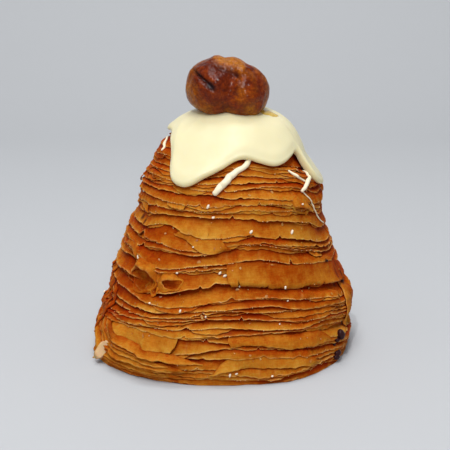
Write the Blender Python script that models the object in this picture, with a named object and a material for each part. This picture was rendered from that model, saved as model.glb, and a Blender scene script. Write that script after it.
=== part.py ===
"""A bell-shaped sfogliatella riccia standing on its wide end.

One strip of dough winds down the bell from the narrow top to the wide base. Each turn of the
strip overlaps the turn below it, so the wall is a spiral of ridges whose free edges point down.
Icing caps the top and runs down in drips, and one candied chestnut sits on the icing.

Lengths are in millimetres up to the last step, which makes metres. The front faces -Y.
"""

import math

import bmesh
import bpy
from mathutils import Vector, noise

METRES_PER_MM = 0.001

# The bell, as (radius, height) of its outer envelope from below the base rim up to the top.
BELL = [
    (45.0, -8.0),
    (44.9, 0.0),
    (44.9, 4.8),
    (44.0, 12.6),
    (41.8, 19.8),
    (39.1, 26.9),
    (36.6, 34.1),
    (34.4, 41.4),
    (32.5, 48.4),
    (30.4, 55.6),
    (28.4, 59.6),
    (25.9, 63.0),
    (22.0, 68.3),
    (17.3, 74.0),
    (13.0, 76.7),
    (7.0, 78.8),
    (0.0, 79.5),
]
FOOT = 1.1  # the base is cut this far below height 0
LEAN_TOP = 3.6  # how far the bell leans to +X at LEAN_HEIGHT
LEAN_HEIGHT = 68.0
LEAN_POWER = 1.6
BULGE = 1.3  # how far the lower wall stands out to +X
BULGE_HEIGHT = 22.0
BULGE_REACH = 11.0
# Where the wall swells or dips: azimuth and its reach in degrees, height and its reach, size.
SWELLINGS = [
    (-148, 26, 0.0, 6.0, 2.3),
    (-50, 24, 0.0, 7.0, 1.5),
    (-175, 40, 70.0, 6.0, 3.6),
    (0, 34, 62.5, 5.2, -1.6),
    (4, 34, 53.5, 3.0, 1.0),
    (180, 40, 47.0, 6.0, -2.1),
    (-172, 30, 27.0, 4.0, 0.9),
    (180, 36, 13.0, 7.0, -2.4),
    (-10, 30, 15.0, 5.0, 0.9),
]
OUT_OF_ROUND = 1.0  # slow swell and dip of the wall
OUT_OF_ROUND_SIZE = 30.0
ROUND_ABOVE = (64.0, 76.0)  # the swell fades out between these heights

# The spiral of ridges.
COLUMNS = 54
FIRST_RIDGE = 5.0  # distance from the top, along the wall, where the spiral starts
COVERED_TURNS = 4  # turns under the icing, which are wide and nearly flat
COVERED_PITCH = 5.4
PITCH = 3.05  # width of a ridge along the wall, below the icing
RIDGE_DEPTH = 1.25
COVERED_DEPTH = 0.35
EDGE_AT = 0.84  # where in its pitch a ridge has its free edge
PITCH_CHANGE = 0.9  # some ridges are wider than others
RIDGE_WANDER = 1.1  # how far a ridge strays up or down the wall
RIDGE_WANDER_SIZE = 17.0
RIDGE_RIPPLE = 0.35
RIDGE_RIPPLE_SIZE = 7.0
EDGE_WAVE = 0.6  # in-and-out ripple of the free edges
EDGE_WAVE_SIZE = 6.5
SNAP_TO_BASE = 0.25  # an edge point this close to the base is moved onto it

# The icing.
ICING_COLUMNS = 60
ICING_GAP = 0.42
ICING_THICK = 2.3
ICING_ROWS = 9
ICING_INNER_ROWS = 8
ICING_LIP = 1.9  # length of the rounded edge
ICING_THINNER = (-4, 30, 58.0, 8.0, 0.9)  # azimuth and its reach, height and its reach, mm less
# Height of the icing's edge by azimuth in degrees (-90 is the front, 0 the right).
ICING_EDGE = [
    (-180, 72.8),
    (-168, 73.1),
    (-158, 72.6),
    (-151, 70.8),
    (-145, 68.8),
    (-139.5, 65.6),
    (-135, 62.2),
    (-130, 59.9),
    (-124, 58.7),
    (-117, 58.7),
    (-108, 61.2),
    (-98, 63.8),
    (-88, 66.3),
    (-79, 66.7),
    (-68, 65.3),
    (-58, 64.2),
    (-49, 64.7),
    (-39, 66.2),
    (-32, 67.0),
    (-28, 65.4),
    (-26, 61.6),
    (-23, 58.2),
    (-17, 56.2),
    (-8, 55.3),
    (1, 55.6),
    (9, 58.4),
    (17, 63.2),
    (26, 67.2),
    (38, 68.2),
    (52, 65.4),
    (64, 61.0),
    (76, 59.8),
    (88, 63.4),
    (102, 67.6),
    (118, 64.0),
    (132, 63.0),
    (144, 68.4),
    (156, 73.0),
    (168, 74.0),
]

# The chestnut: two lobes seen from a point inside both, (centre, radii).
CHESTNUT_HEART = (3.0, -4.2, 87.2)
CHESTNUT_LOBES = [
    ((-2.2, -3.6, 88.3), (9.9, 11.6, 9.9)),
    ((7.0, -4.5, 86.6), (8.8, 11.2, 9.3)),
]
CHESTNUT_COLUMNS = 34
CHESTNUT_ROWS = 17
CHESTNUT_BLEND = 16.0  # a higher number makes a sharper groove between the lobes
CHESTNUT_GAP = 0.4
WRINKLE = 0.45
WRINKLE_SIZE = 4.5
FOLD_DEPTH = 1.1
FOLD_WIDTH = 1.6
CREST = (4.4, -5.0)  # middle of the raised fold on top, between the lobes
CREST_REACH = (2.4, 5.5)
CREST_HIGH = 2.2

PASTRY_COLOUR = (0.46, 0.17, 0.035, 1.0)
ICING_COLOUR = (0.93, 0.87, 0.70, 1.0)
CHESTNUT_COLOUR = (0.13, 0.022, 0.004, 1.0)


def blend(low, high, value):
    """0 below low, 1 above high and a smooth rise between."""
    t = min(1.0, max(0.0, (value - low) / (high - low)))
    return t * t * (3.0 - 2.0 * t)


def mixed(a, b, t):
    return a + (b - a) * t


def ripple(place, size, seed):
    """Smooth noise in about -1..1 over space, with features of the given size."""
    return 1.6 * noise.noise(Vector(place) / size + Vector((seed, 0.37 * seed, -seed)))


def catmull(p0, p1, p2, p3, t):
    """A point on the smooth curve from p1 to p2."""
    return tuple(
        0.5
        * (
            2 * b
            + (c - a) * t
            + (2 * a - 5 * b + 4 * c - d) * t * t
            + (3 * b - a - 3 * c + d) * t**3
        )
        for a, b, c, d in zip(p0, p1, p2, p3)
    )


def dense_curve(points, steps=14):
    """The smooth curve through all the points, as many short pieces."""
    padded = [points[0]] + points + [points[-1]]
    out = []
    for i in range(len(points) - 1):
        out += [catmull(*padded[i : i + 4], k / steps) for k in range(steps)]
    return out + [points[-1]]


class Wall:
    """The bell's outline, measured by the distance from its top along the wall."""

    def __init__(self, outline):
        self.points = dense_curve([(r, z) for r, z in reversed(outline)])
        self.along = [0.0]
        for a, b in zip(self.points, self.points[1:]):
            self.along.append(self.along[-1] + math.dist(a, b))

    def at(self, s):
        """Radius, height and outward direction at distance s from the top."""
        s = min(max(s, 0.0), self.along[-1] - 1e-6)
        low, high = 0, len(self.along) - 1
        while high - low > 1:
            mid = (low + high) // 2
            low, high = (mid, high) if self.along[mid] <= s else (low, mid)
        t = (s - self.along[low]) / (self.along[high] - self.along[low])
        (r0, z0), (r1, z1) = self.points[low], self.points[high]
        r, z = mixed(r0, r1, t), mixed(z0, z1, t)
        size = math.dist((r0, z0), (r1, z1))
        return r, z, -(z1 - z0) / size, (r1 - r0) / size

    def distance_at_height(self, z):
        """How far down the wall a height lies."""
        low, high = 0.0, self.along[-1]
        for _ in range(40):
            mid = (low + high) / 2
            low, high = (mid, high) if self.at(mid)[1] > z else (low, mid)
        return low


WALL = Wall(BELL)


def lean(z):
    """How far the bell's middle lies to +X at a height."""
    bulge = BULGE * math.exp(-(((z - BULGE_HEIGHT) / BULGE_REACH) ** 2))
    return LEAN_TOP * (max(z, 0.0) / LEAN_HEIGHT) ** LEAN_POWER + bulge


def swelling(degrees, z):
    """How far the swellings and dips move the wall at an azimuth and a height."""
    total = 0.0
    for azimuth, reach, height, tall, size in SWELLINGS:
        turn = (degrees - azimuth + 180.0) % 360.0 - 180.0
        total += size * math.exp(-((turn / reach) ** 2) - ((z - height) / tall) ** 2)
    return total


def wall_point(azimuth, s, out):
    """A point at this azimuth (radians), distance down the wall and height above the wall."""
    r, z, nr, nz = WALL.at(s)
    r, z = r + nr * out, z + nz * out
    r = max(r, 0.0)
    place = (r * math.cos(azimuth), r * math.sin(azimuth), z)
    swell = OUT_OF_ROUND * (1.0 - blend(*ROUND_ABOVE, z)) * ripple(place, OUT_OF_ROUND_SIZE, 3.1)
    swell += swelling(math.degrees(azimuth), z)
    return ((r + swell) * math.cos(azimuth) + lean(z), (r + swell) * math.sin(azimuth), z)


def spiral_distance(turns):
    """Distance down the wall after so many turns of the spiral."""
    covered = min(turns, COVERED_TURNS)
    shown = turns - covered
    change = PITCH_CHANGE * ripple((2.4 * shown, 0.0, 0.0), 3.0, 0.6) * min(1.0, shown / 2.0)
    return FIRST_RIDGE + covered * COVERED_PITCH + shown * PITCH + change


def ridge_point(column, row):
    """A vertex of the spiral: row 0 is a ridge's groove and row 1 its free edge."""
    azimuth = 2 * math.pi * (column % COLUMNS) / COLUMNS
    turns = column / COLUMNS + (EDGE_AT if row else 0.0)
    s = spiral_distance(turns)
    shown = blend(COVERED_TURNS - 0.2, COVERED_TURNS + 1.6, turns)
    place = wall_point(azimuth, s, 0.0)
    s += shown * RIDGE_WANDER * ripple(place, RIDGE_WANDER_SIZE, 7.7)
    s += shown * RIDGE_RIPPLE * ripple(place, RIDGE_RIPPLE_SIZE, 4.2)
    if row:
        out = -shown * EDGE_WAVE * (0.5 + 0.5 * ripple(place, EDGE_WAVE_SIZE, 1.9))
    else:
        out = -mixed(COVERED_DEPTH, RIDGE_DEPTH, shown)
    return wall_point(azimuth, s, out)


def add_quad(bm, a, b, c, d):
    """Two triangles that split a quad along its shorter diagonal."""
    if (a.co - c.co).length > (b.co - d.co).length:
        a, b, c, d = b, c, d, a
    bm.faces.new((a, b, c))
    bm.faces.new((a, c, d))


def pastry_mesh():
    """The spiral-ridged bell, cut flat at the base."""
    turns = (WALL.along[-1] - 2.0 - spiral_distance(COVERED_TURNS)) / PITCH + COVERED_TURNS
    last = int(turns * COLUMNS)
    bm = bmesh.new()
    grooves = [bm.verts.new(ridge_point(i, 0)) for i in range(last + 1)]
    edges = [bm.verts.new(ridge_point(i, 1)) for i in range(last + 1 - COLUMNS)]
    for i in range(last - COLUMNS):
        add_quad(bm, grooves[i], edges[i], edges[i + 1], grooves[i + 1])
        below = i + COLUMNS
        add_quad(bm, edges[i], grooves[below], grooves[below + 1], edges[i + 1])
    top = bm.verts.new(wall_point(0.0, 0.0, 0.0))
    for i in range(COLUMNS):
        bm.faces.new((top, grooves[i], grooves[i + 1]))
    bm.faces.new((top, grooves[COLUMNS], grooves[0]))
    bm.faces.new((grooves[COLUMNS], edges[0], grooves[0]))
    cut_base(bm)
    return bm


def cut_base(bm):
    """Cuts the bell at its foot and closes it there with a flat face."""
    for v in bm.verts:
        if abs(v.co.z + FOOT) < SNAP_TO_BASE:
            v.co.z = -FOOT
    bmesh.ops.bisect_plane(
        bm,
        geom=bm.verts[:] + bm.edges[:] + bm.faces[:],
        dist=1e-5,
        plane_co=(0, 0, -FOOT),
        plane_no=(0, 0, -1),
        clear_outer=True,
    )
    rim = [e for e in bm.edges if e.is_boundary]
    middle = bm.verts.new((0.0, 0.0, -FOOT))
    for e in rim:
        bm.faces.new((e.verts[0], e.verts[1], middle))


def icing_edge(azimuth):
    """Distance down the wall of the icing's edge, smooth all the way round."""
    degrees = (math.degrees(azimuth) + 180.0) % 360.0 - 180.0
    count = len(ICING_EDGE)
    for i, (start, _) in enumerate(ICING_EDGE):
        end = ICING_EDGE[(i + 1) % count][0] + (360 if i + 1 == count else 0)
        if start <= degrees < end:
            four = [(ICING_EDGE[(i + k) % count][1],) for k in (-1, 0, 1, 2)]
            height = catmull(*four, (degrees - start) / (end - start))[0]
            return WALL.distance_at_height(height)
    raise ValueError("azimuth outside the icing's table")


def icing_thickness(azimuth, s):
    """The icing's thickness, which is less in the drip on the right."""
    at, reach, height, tall, less = ICING_THINNER
    turn = (math.degrees(azimuth) - at + 180.0) % 360.0 - 180.0
    away = (WALL.at(s)[1] - height) / tall
    return ICING_THICK - less * math.exp(-((turn / reach) ** 2) - away**2)


def icing_column(azimuth):
    """One column of the icing, from the top down its outside, round the lip and up inside."""
    edge = icing_edge(azimuth)
    thick, gap = icing_thickness(azimuth, edge), ICING_GAP
    reach = edge - ICING_LIP
    outer = [reach * (k / ICING_ROWS) ** 0.9 for k in range(1, ICING_ROWS + 1)]
    column = [(s, gap + icing_thickness(azimuth, s)) for s in outer]
    column += [
        (edge - 0.55, gap + 0.80 * thick),
        (edge, gap + 0.38 * thick),
        (edge - 0.35, gap),
    ]
    inner = edge - 0.35
    for k in range(ICING_INNER_ROWS - 1, 0, -1):
        column.append((inner * (k / ICING_INNER_ROWS) ** 0.85, gap))
    return [wall_point(azimuth, s, out) for s, out in column]


def icing_mesh():
    bm = bmesh.new()
    rings = []
    for i in range(ICING_COLUMNS):
        azimuth = 2 * math.pi * i / ICING_COLUMNS
        rings.append([bm.verts.new(p) for p in icing_column(azimuth)])
    outer = bm.verts.new(wall_point(0.0, 0.0, ICING_GAP + ICING_THICK))
    inner = bm.verts.new(wall_point(0.0, 0.0, ICING_GAP))
    for i, a in enumerate(rings):
        b = rings[(i + 1) % ICING_COLUMNS]
        bm.faces.new((outer, a[0], b[0]))
        for k in range(len(a) - 1):
            add_quad(bm, a[k], a[k + 1], b[k + 1], b[k])
        bm.faces.new((inner, b[-1], a[-1]))
    return bm


def icing_top(x, y):
    """Height of the icing's outer face over a place near the top of the bell."""
    rho_now, z = math.hypot(x - lean(79.0), y), 0.0
    low, high = 0.0, 40.0
    for _ in range(30):
        s = (low + high) / 2
        r, z, nr, nz = WALL.at(s)
        r, z = r + nr * (ICING_GAP + ICING_THICK), z + nz * (ICING_GAP + ICING_THICK)
        low, high = (s, high) if r < rho_now else (low, s)
    return z


def lobe_distance(direction, centre, radii):
    """How far out a lobe's skin lies along a direction from the chestnut's heart."""
    start = [(h - c) / r for h, c, r in zip(CHESTNUT_HEART, centre, radii)]
    step = [d / r for d, r in zip(direction, radii)]
    a = sum(v * v for v in step)
    b = sum(v * w for v, w in zip(start, step))
    c = sum(v * v for v in start) - 1.0
    return (-b + math.sqrt(b * b - a * c)) / a


def chestnut_point(around, up):
    """A vertex of the chestnut in a direction from its heart."""
    direction = (math.cos(up) * math.cos(around), math.cos(up) * math.sin(around), math.sin(up))
    reach = [lobe_distance(direction, *lobe) for lobe in CHESTNUT_LOBES]
    distance = sum(r**CHESTNUT_BLEND for r in reach) ** (1.0 / CHESTNUT_BLEND)
    place = [h + d * distance for h, d in zip(CHESTNUT_HEART, direction)]
    distance += WRINKLE * ripple(place, WRINKLE_SIZE, 5.3) - 0.25
    # A crease crosses the front of the large lobe, from its upper left towards its middle.
    across = (place[0] + 3.4) * 0.64 + (place[2] - 90.0) * 0.77
    on_front = blend(-2.0, -7.0, place[1]) * blend(6.5, 3.0, abs(place[0] + 4.5))
    distance -= FOLD_DEPTH * on_front * math.exp(-((across / FOLD_WIDTH) ** 2))
    off = [(p - c) / reach for p, c, reach in zip(place, CREST, CREST_REACH)]
    crest = math.exp(-(off[0] ** 2) - off[1] ** 2) * blend(90.0, 94.0, place[2])
    distance += CREST_HIGH * crest
    x, y, z = [h + d * distance for h, d in zip(CHESTNUT_HEART, direction)]
    return x, y, max(z, icing_top(x, y) + CHESTNUT_GAP)


def chestnut_mesh():
    bm = bmesh.new()
    rows = []
    for k in range(1, CHESTNUT_ROWS):
        up = math.pi * (0.5 - k / CHESTNUT_ROWS)
        rows.append(
            [
                bm.verts.new(chestnut_point(2 * math.pi * i / CHESTNUT_COLUMNS, up))
                for i in range(CHESTNUT_COLUMNS)
            ]
        )
    top = bm.verts.new(chestnut_point(0.0, math.pi / 2))
    bottom = bm.verts.new(chestnut_point(0.0, -math.pi / 2))
    for i in range(CHESTNUT_COLUMNS):
        j = (i + 1) % CHESTNUT_COLUMNS
        bm.faces.new((top, rows[0][i], rows[0][j]))
        for a, b in zip(rows, rows[1:]):
            add_quad(bm, a[i], b[i], b[j], a[j])
        bm.faces.new((bottom, rows[-1][j], rows[-1][i]))
    return bm


def coloured(name, colour, roughness):
    material = bpy.data.materials.new(name)
    material.use_nodes = True
    shader = material.node_tree.nodes["Principled BSDF"]
    shader.inputs["Base Color"].default_value = colour
    shader.inputs["Roughness"].default_value = roughness
    return material


def make_object(name, bm, material):
    """Turns a finished mesh in millimetres into an object in metres."""
    bmesh.ops.recalc_face_normals(bm, faces=bm.faces[:])
    for v in bm.verts:
        v.co *= METRES_PER_MM
    mesh = bpy.data.meshes.new(name)
    bm.to_mesh(mesh)
    bm.free()
    mesh.materials.append(material)
    made = bpy.data.objects.new(name, mesh)
    bpy.context.scene.collection.objects.link(made)
    return made


def centre_on_origin(objects):
    """Puts the middle of the whole part's bounding box over the origin, with the base at 0."""
    places = [v.co for o in objects for v in o.data.vertices]
    shift = Vector(
        (
            -(min(p.x for p in places) + max(p.x for p in places)) / 2,
            -(min(p.y for p in places) + max(p.y for p in places)) / 2,
            -min(p.z for p in places),
        )
    )
    for o in objects:
        for v in o.data.vertices:
            v.co += shift


def main():
    for old in list(bpy.data.objects):
        bpy.data.objects.remove(old, do_unlink=True)
    objects = [
        make_object("pastry", pastry_mesh(), coloured("pastry", PASTRY_COLOUR, 0.7)),
        make_object("icing", icing_mesh(), coloured("icing", ICING_COLOUR, 0.4)),
        make_object("chestnut", chestnut_mesh(), coloured("chestnut", CHESTNUT_COLOUR, 0.2)),
    ]
    centre_on_origin(objects)


main()
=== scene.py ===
"""The looks of a bell-shaped sfogliatella riccia: a spiral of thin dough leaves with loose sheets
and pockets, icing with drips, a candied chestnut, threads and grains of icing, flakes and crumbs.

Lengths are in millimetres until a mesh is made. Azimuth is in degrees round the bell: -90 is the
front, 0 the right, 90 the back and 180 the left. Heights are above a line FOOT over the floor.
"""

import math

import bpy
import numpy as np
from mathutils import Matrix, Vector, noise
from mathutils.bvhtree import BVHTree


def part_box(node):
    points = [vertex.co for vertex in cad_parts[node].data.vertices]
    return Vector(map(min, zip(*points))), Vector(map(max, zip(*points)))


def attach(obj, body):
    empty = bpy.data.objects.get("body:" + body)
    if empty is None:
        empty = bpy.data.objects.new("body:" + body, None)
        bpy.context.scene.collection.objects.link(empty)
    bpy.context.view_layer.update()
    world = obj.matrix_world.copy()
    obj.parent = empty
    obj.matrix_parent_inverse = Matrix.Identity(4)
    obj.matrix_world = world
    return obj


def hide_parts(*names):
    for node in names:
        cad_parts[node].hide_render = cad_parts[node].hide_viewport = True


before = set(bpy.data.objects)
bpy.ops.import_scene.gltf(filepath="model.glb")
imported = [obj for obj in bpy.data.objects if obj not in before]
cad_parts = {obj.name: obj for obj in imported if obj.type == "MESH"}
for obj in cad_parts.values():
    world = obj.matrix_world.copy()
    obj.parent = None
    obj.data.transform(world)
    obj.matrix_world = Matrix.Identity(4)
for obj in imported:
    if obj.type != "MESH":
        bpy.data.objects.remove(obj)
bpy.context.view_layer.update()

MM = 0.001
FOOT = 1.1  # heights are measured from this far above the floor
LOW, HIGH = (np.array(corner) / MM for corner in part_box("pastry"))
AXIS = (LOW + HIGH)[:2] / 2 + [-0.14, 0.11]  # the bell's axis is a little behind its box's middle
WIDTH = float((HIGH - LOW)[:2].mean())
HEIGHT = float(HIGH[2]) - FOOT

# The bell's outline, as (radius, height) from base to top, for the nominal width and height.
NOMINAL_WIDTH, NOMINAL_HEIGHT = 89.6, 79.5
BELL = [
    (45.0, -8.0), (44.9, 0.0), (44.9, 4.8), (44.0, 12.6), (41.8, 19.8), (39.1, 26.9),
    (36.6, 34.1), (34.4, 41.4), (32.5, 48.4), (30.4, 55.6), (28.4, 59.6), (25.9, 63.0),
    (22.0, 68.3), (17.3, 74.0), (13.0, 76.7), (7.0, 78.8), (0.0, 79.5),
]
LEAN_TOP, LEAN_HEIGHT, LEAN_POWER = 3.6, 68.0, 1.6  # the bell leans to the right
BULGE, BULGE_HEIGHT, BULGE_REACH = 1.3, 22.0, 11.0  # the lower wall stands out to the right
OUT_OF_ROUND, OUT_OF_ROUND_SIZE = 1.0, 30.0  # slow swell and dip of the wall
ROUND_ABOVE = (64.0, 76.0)  # the swell fades out between these heights
# Where the wall swells or dips: azimuth and its reach in degrees, height and its reach, size.
SWELLINGS = [
    (-148, 26, 0.0, 6.0, 2.3), (-50, 24, 0.0, 7.0, 1.5), (-175, 40, 70.0, 6.0, 3.6),
    (0, 34, 62.5, 5.2, -1.6), (4, 34, 53.5, 3.0, 1.0), (180, 40, 47.0, 6.0, -2.1),
    (-172, 30, 27.0, 4.0, 0.9), (180, 36, 13.0, 7.0, -2.4), (-10, 30, 15.0, 5.0, 0.9),
]


# ---------------------------------------------------------------- numbers


def rise(low, high, value):
    """0 below low, 1 above high and a smooth rise between."""
    t = np.clip((np.asarray(value, float) - low) / (high - low), 0, 1)
    return t * t * (3 - 2 * t)


def bump(value, centre, width):
    """1 at the centre, falling smoothly to 0 on both sides."""
    return np.exp(-(((np.asarray(value, float) - centre) / width) ** 2))


def circle(count):
    """Even angles once round, in radians."""
    return np.linspace(0, 2 * math.pi, count, endpoint=False)


def turned(u, v, degrees):
    """A place in a plane, turned about the plane's origin."""
    a = math.radians(degrees)
    return u * math.cos(a) - v * math.sin(a), v * math.cos(a) + u * math.sin(a)


def angle_from(azimuth, centre):
    """Signed difference of two azimuths, -180 to 180."""
    return (np.asarray(azimuth, float) - centre + 180) % 360 - 180


NOISE_CELLS, LINE_CELLS = 32, 16384  # sizes of the noise tables


def noise_at(points, size, seed):
    """Smooth noise in -1..1 at an array of points (..., 3), with features of the given size."""
    table = np.random.default_rng(seed).uniform(-1, 1, [NOISE_CELLS] * 3)
    p = np.asarray(points, float) / size + 100.37
    cell = np.floor(p).astype(int)
    t = p - cell
    t = t * t * (3 - 2 * t)
    total = 0
    for dx in (0, 1):
        for dy in (0, 1):
            for dz in (0, 1):
                x, y, z = cell[..., 0] + dx, cell[..., 1] + dy, cell[..., 2] + dz
                w = (
                    (t[..., 0] if dx else 1 - t[..., 0])
                    * (t[..., 1] if dy else 1 - t[..., 1])
                    * (t[..., 2] if dz else 1 - t[..., 2])
                )
                total = total + w * table[x % NOISE_CELLS, y % NOISE_CELLS, z % NOISE_CELLS]
    return total * 1.35


def cubic(a, b, c, d, t):
    """The smooth curve from b to c, with a before and d after them."""
    return 0.5 * (
        2 * b + (c - a) * t + (2 * a - 5 * b + 4 * c - d) * t**2 + (3 * b - a - 3 * c + d) * t**3
    )


def noise_along(distance, size, seed):
    """Smooth noise in -1..1 along a line."""
    table = np.random.default_rng(seed).uniform(-1, 1, LINE_CELLS)
    p = np.asarray(distance, float) / size + 50.5
    i = np.floor(p).astype(int)
    return cubic(*(table[(i + k) % LINE_CELLS] for k in (-1, 0, 1, 2)), p - i)


def through(points, count):
    """Points on a smooth curve through all the given ones."""
    p = np.array([points[0], *points, points[-1]], float)
    at = np.linspace(0, len(points) - 1 - 1e-9, count)
    i = at.astype(int)
    return cubic(*(p[i + k] for k in range(4)), (at - i)[:, None])


def curve_at(places, values, x):
    """A smooth curve through the values at uneven places, level beyond both ends."""
    places, values = np.array(places, float), np.array(values, float)
    slopes = np.gradient(values, places)
    slopes[[0, -1]] = 0
    x = np.clip(x, places[0], places[-1])
    i = np.clip(np.searchsorted(places, x, side="right") - 1, 0, len(places) - 2)
    width = places[i + 1] - places[i]
    t = (x - places[i]) / width
    return (
        (2 * t**3 - 3 * t**2 + 1) * values[i]
        + (t**3 - 2 * t**2 + t) * width * slopes[i]
        + (3 * t**2 - 2 * t**3) * values[i + 1]
        + (t**3 - t**2) * width * slopes[i + 1]
    )


# ---------------------------------------------------------------- the bell's wall

OUTLINE = through(BELL[::-1], 600) * [WIDTH / NOMINAL_WIDTH, HEIGHT / NOMINAL_HEIGHT]
ALONG = np.concatenate([[0], np.cumsum(np.linalg.norm(np.diff(OUTLINE, axis=0), axis=1))])
SLOPE = np.gradient(OUTLINE, ALONG, axis=0)
OUT_R, OUT_Z = -SLOPE[:, 1], SLOPE[:, 0]
BASE_AT = float(np.interp(FOOT, -OUTLINE[:, 1], ALONG))


def distance_at_height(z):
    """How far down the wall from the top a height lies."""
    return np.interp(-np.asarray(z, float), -OUTLINE[:, 1], ALONG)


def height_at_distance(s):
    """The wall's height at a distance down from the top."""
    return np.interp(s, ALONG, OUTLINE[:, 1])


def radius_at_distance(s):
    """The wall's radius at a distance down from the top."""
    return np.interp(s, ALONG, OUTLINE[:, 0])


SWELL_DEGREES, SWELL_MM = 5, 2.0  # steps of the swell table


def swell_table():
    """The wall's slow swell and dip, by azimuth and distance down the wall."""
    s = np.arange(0, ALONG[-1] + SWELL_MM, SWELL_MM)
    rows = []
    for angle in np.radians(np.arange(0, 360, SWELL_DEGREES)):
        row = []
        for at in s:
            r, z = float(radius_at_distance(at)), float(height_at_distance(at))
            place = Vector((r * math.cos(angle), r * math.sin(angle), z)) / OUT_OF_ROUND_SIZE
            value = 1.6 * noise.noise(place + Vector((3.1, 0.37 * 3.1, -3.1)))
            row.append(OUT_OF_ROUND * (1 - float(rise(*ROUND_ABOVE, z))) * value)
        rows.append(row)
    return np.array(rows)


SWELL = swell_table()


def swell(azimuth, s):
    """How far the wall stands out past its round outline."""
    z = height_at_distance(s)
    total = slow_swell(azimuth, s)
    for at, reach, height, tall, size in SWELLINGS:
        total = total + size * bump(angle_from(azimuth, at), 0, reach) * bump(z, height, tall)
    return total


def slow_swell(azimuth, s):
    """The swell table's value between its entries."""
    a, b = (azimuth % 360) / SWELL_DEGREES, np.clip(s / SWELL_MM, 0, SWELL.shape[1] - 1.001)
    i, j = a.astype(int), b.astype(int)
    t, u = a - i, b - j
    n = len(SWELL)
    return (
        SWELL[i % n, j] * (1 - t) * (1 - u)
        + SWELL[(i + 1) % n, j] * t * (1 - u)
        + SWELL[i % n, j + 1] * (1 - t) * u
        + SWELL[(i + 1) % n, j + 1] * t * u
    )


def lean(z):
    """How far the bell's middle lies to the right at a height."""
    return LEAN_TOP * (np.clip(z, 0, None) / LEAN_HEIGHT) ** LEAN_POWER + BULGE * bump(
        z, BULGE_HEIGHT, BULGE_REACH
    )


def on_wall(azimuth, s, out):
    """Places at these azimuths, distances down the wall and heights above it."""
    azimuth, s, out = np.broadcast_arrays(*(np.asarray(v, float) for v in (azimuth, s, out)))
    r = radius_at_distance(s) + out * np.interp(s, ALONG, OUT_R)
    z = height_at_distance(s) + out * np.interp(s, ALONG, OUT_Z)
    r = np.maximum(r, 0) + swell(azimuth, s) * rise(0, 10, r)
    angle = np.radians(azimuth)
    x = AXIS[0] + lean(z) + r * np.cos(angle)
    return np.stack([x, AXIS[1] + r * np.sin(angle), z + FOOT], -1)


# ---------------------------------------------------------------- making meshes


def make_piece(name, points, faces, material, slot, node=None, bake=None, **attributes):
    """A mesh piece from points in millimetres, riding on the one body."""
    mesh = bpy.data.meshes.new(name)
    points = np.asarray(points, float).reshape(-1, 3) * MM
    faces = np.asarray(faces, np.int32)
    mesh.vertices.add(len(points))
    mesh.vertices.foreach_set("co", points.astype(np.float32).ravel())
    mesh.loops.add(faces.size)
    mesh.loops.foreach_set("vertex_index", faces.ravel())
    mesh.polygons.add(len(faces))
    starts = np.arange(0, faces.size, faces.shape[1], dtype=np.int32)
    mesh.polygons.foreach_set("loop_start", starts)
    mesh.update(calc_edges=True)
    mesh.polygons.foreach_set("use_smooth", np.ones(len(faces), bool))
    if bake is not None:
        mesh.uv_layers.new(name="OFBake").data.foreach_set("uv", bake.astype(np.float32).ravel())
    for key, values in attributes.items():
        layer = mesh.attributes.new(key, "FLOAT", "POINT")
        layer.data.foreach_set("value", np.asarray(values, np.float32).ravel())
    mesh.materials.append(material)
    piece = bpy.data.objects.new(name, mesh)
    bpy.context.scene.collection.objects.link(piece)
    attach(piece, "root")
    if node:
        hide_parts(node)
    return piece


def grid_faces(rows, columns, closed=False):
    """Quads of a grid stored row by row, joined end to end along the rows when closed."""
    last = columns if closed else columns - 1
    i, j = np.meshgrid(np.arange(rows - 1), np.arange(last), indexing="ij")
    k = (j + 1) % columns
    quads = [i * columns + j, (i + 1) * columns + j, (i + 1) * columns + k, i * columns + k]
    return np.stack(quads, -1).reshape(-1, 4)


class Batch:
    """Many small grids of points gathered into one mesh."""

    def __init__(self):
        self.points, self.faces, self.values, self.count = [], [], {}, 0

    def add(self, points, faces, **values):
        """Takes in some points, their faces and their values, which may be one for all."""
        size = len(points.reshape(-1, 3))
        self.points.append(points.reshape(-1, 3))
        self.faces.append(faces + self.count)
        for key, value in values.items():
            value = np.broadcast_to(value, points.shape[:-1]).reshape(-1)
            self.values.setdefault(key, []).append(value)
        self.count += size

    def add_closed(self, points, **values):
        """Takes in a grid of points whose rows are rings."""
        self.add(points, grid_faces(*points.shape[:2], closed=True), **values)

    def make(self, name, material, slot, node=None):
        """One mesh piece of all that was added."""
        values = {key: np.concatenate(value) for key, value in self.values.items()}
        points, faces = np.concatenate(self.points), np.concatenate(self.faces)
        return make_piece(name, points, faces, material, slot, node, **values)


# ---------------------------------------------------------------- materials


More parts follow.
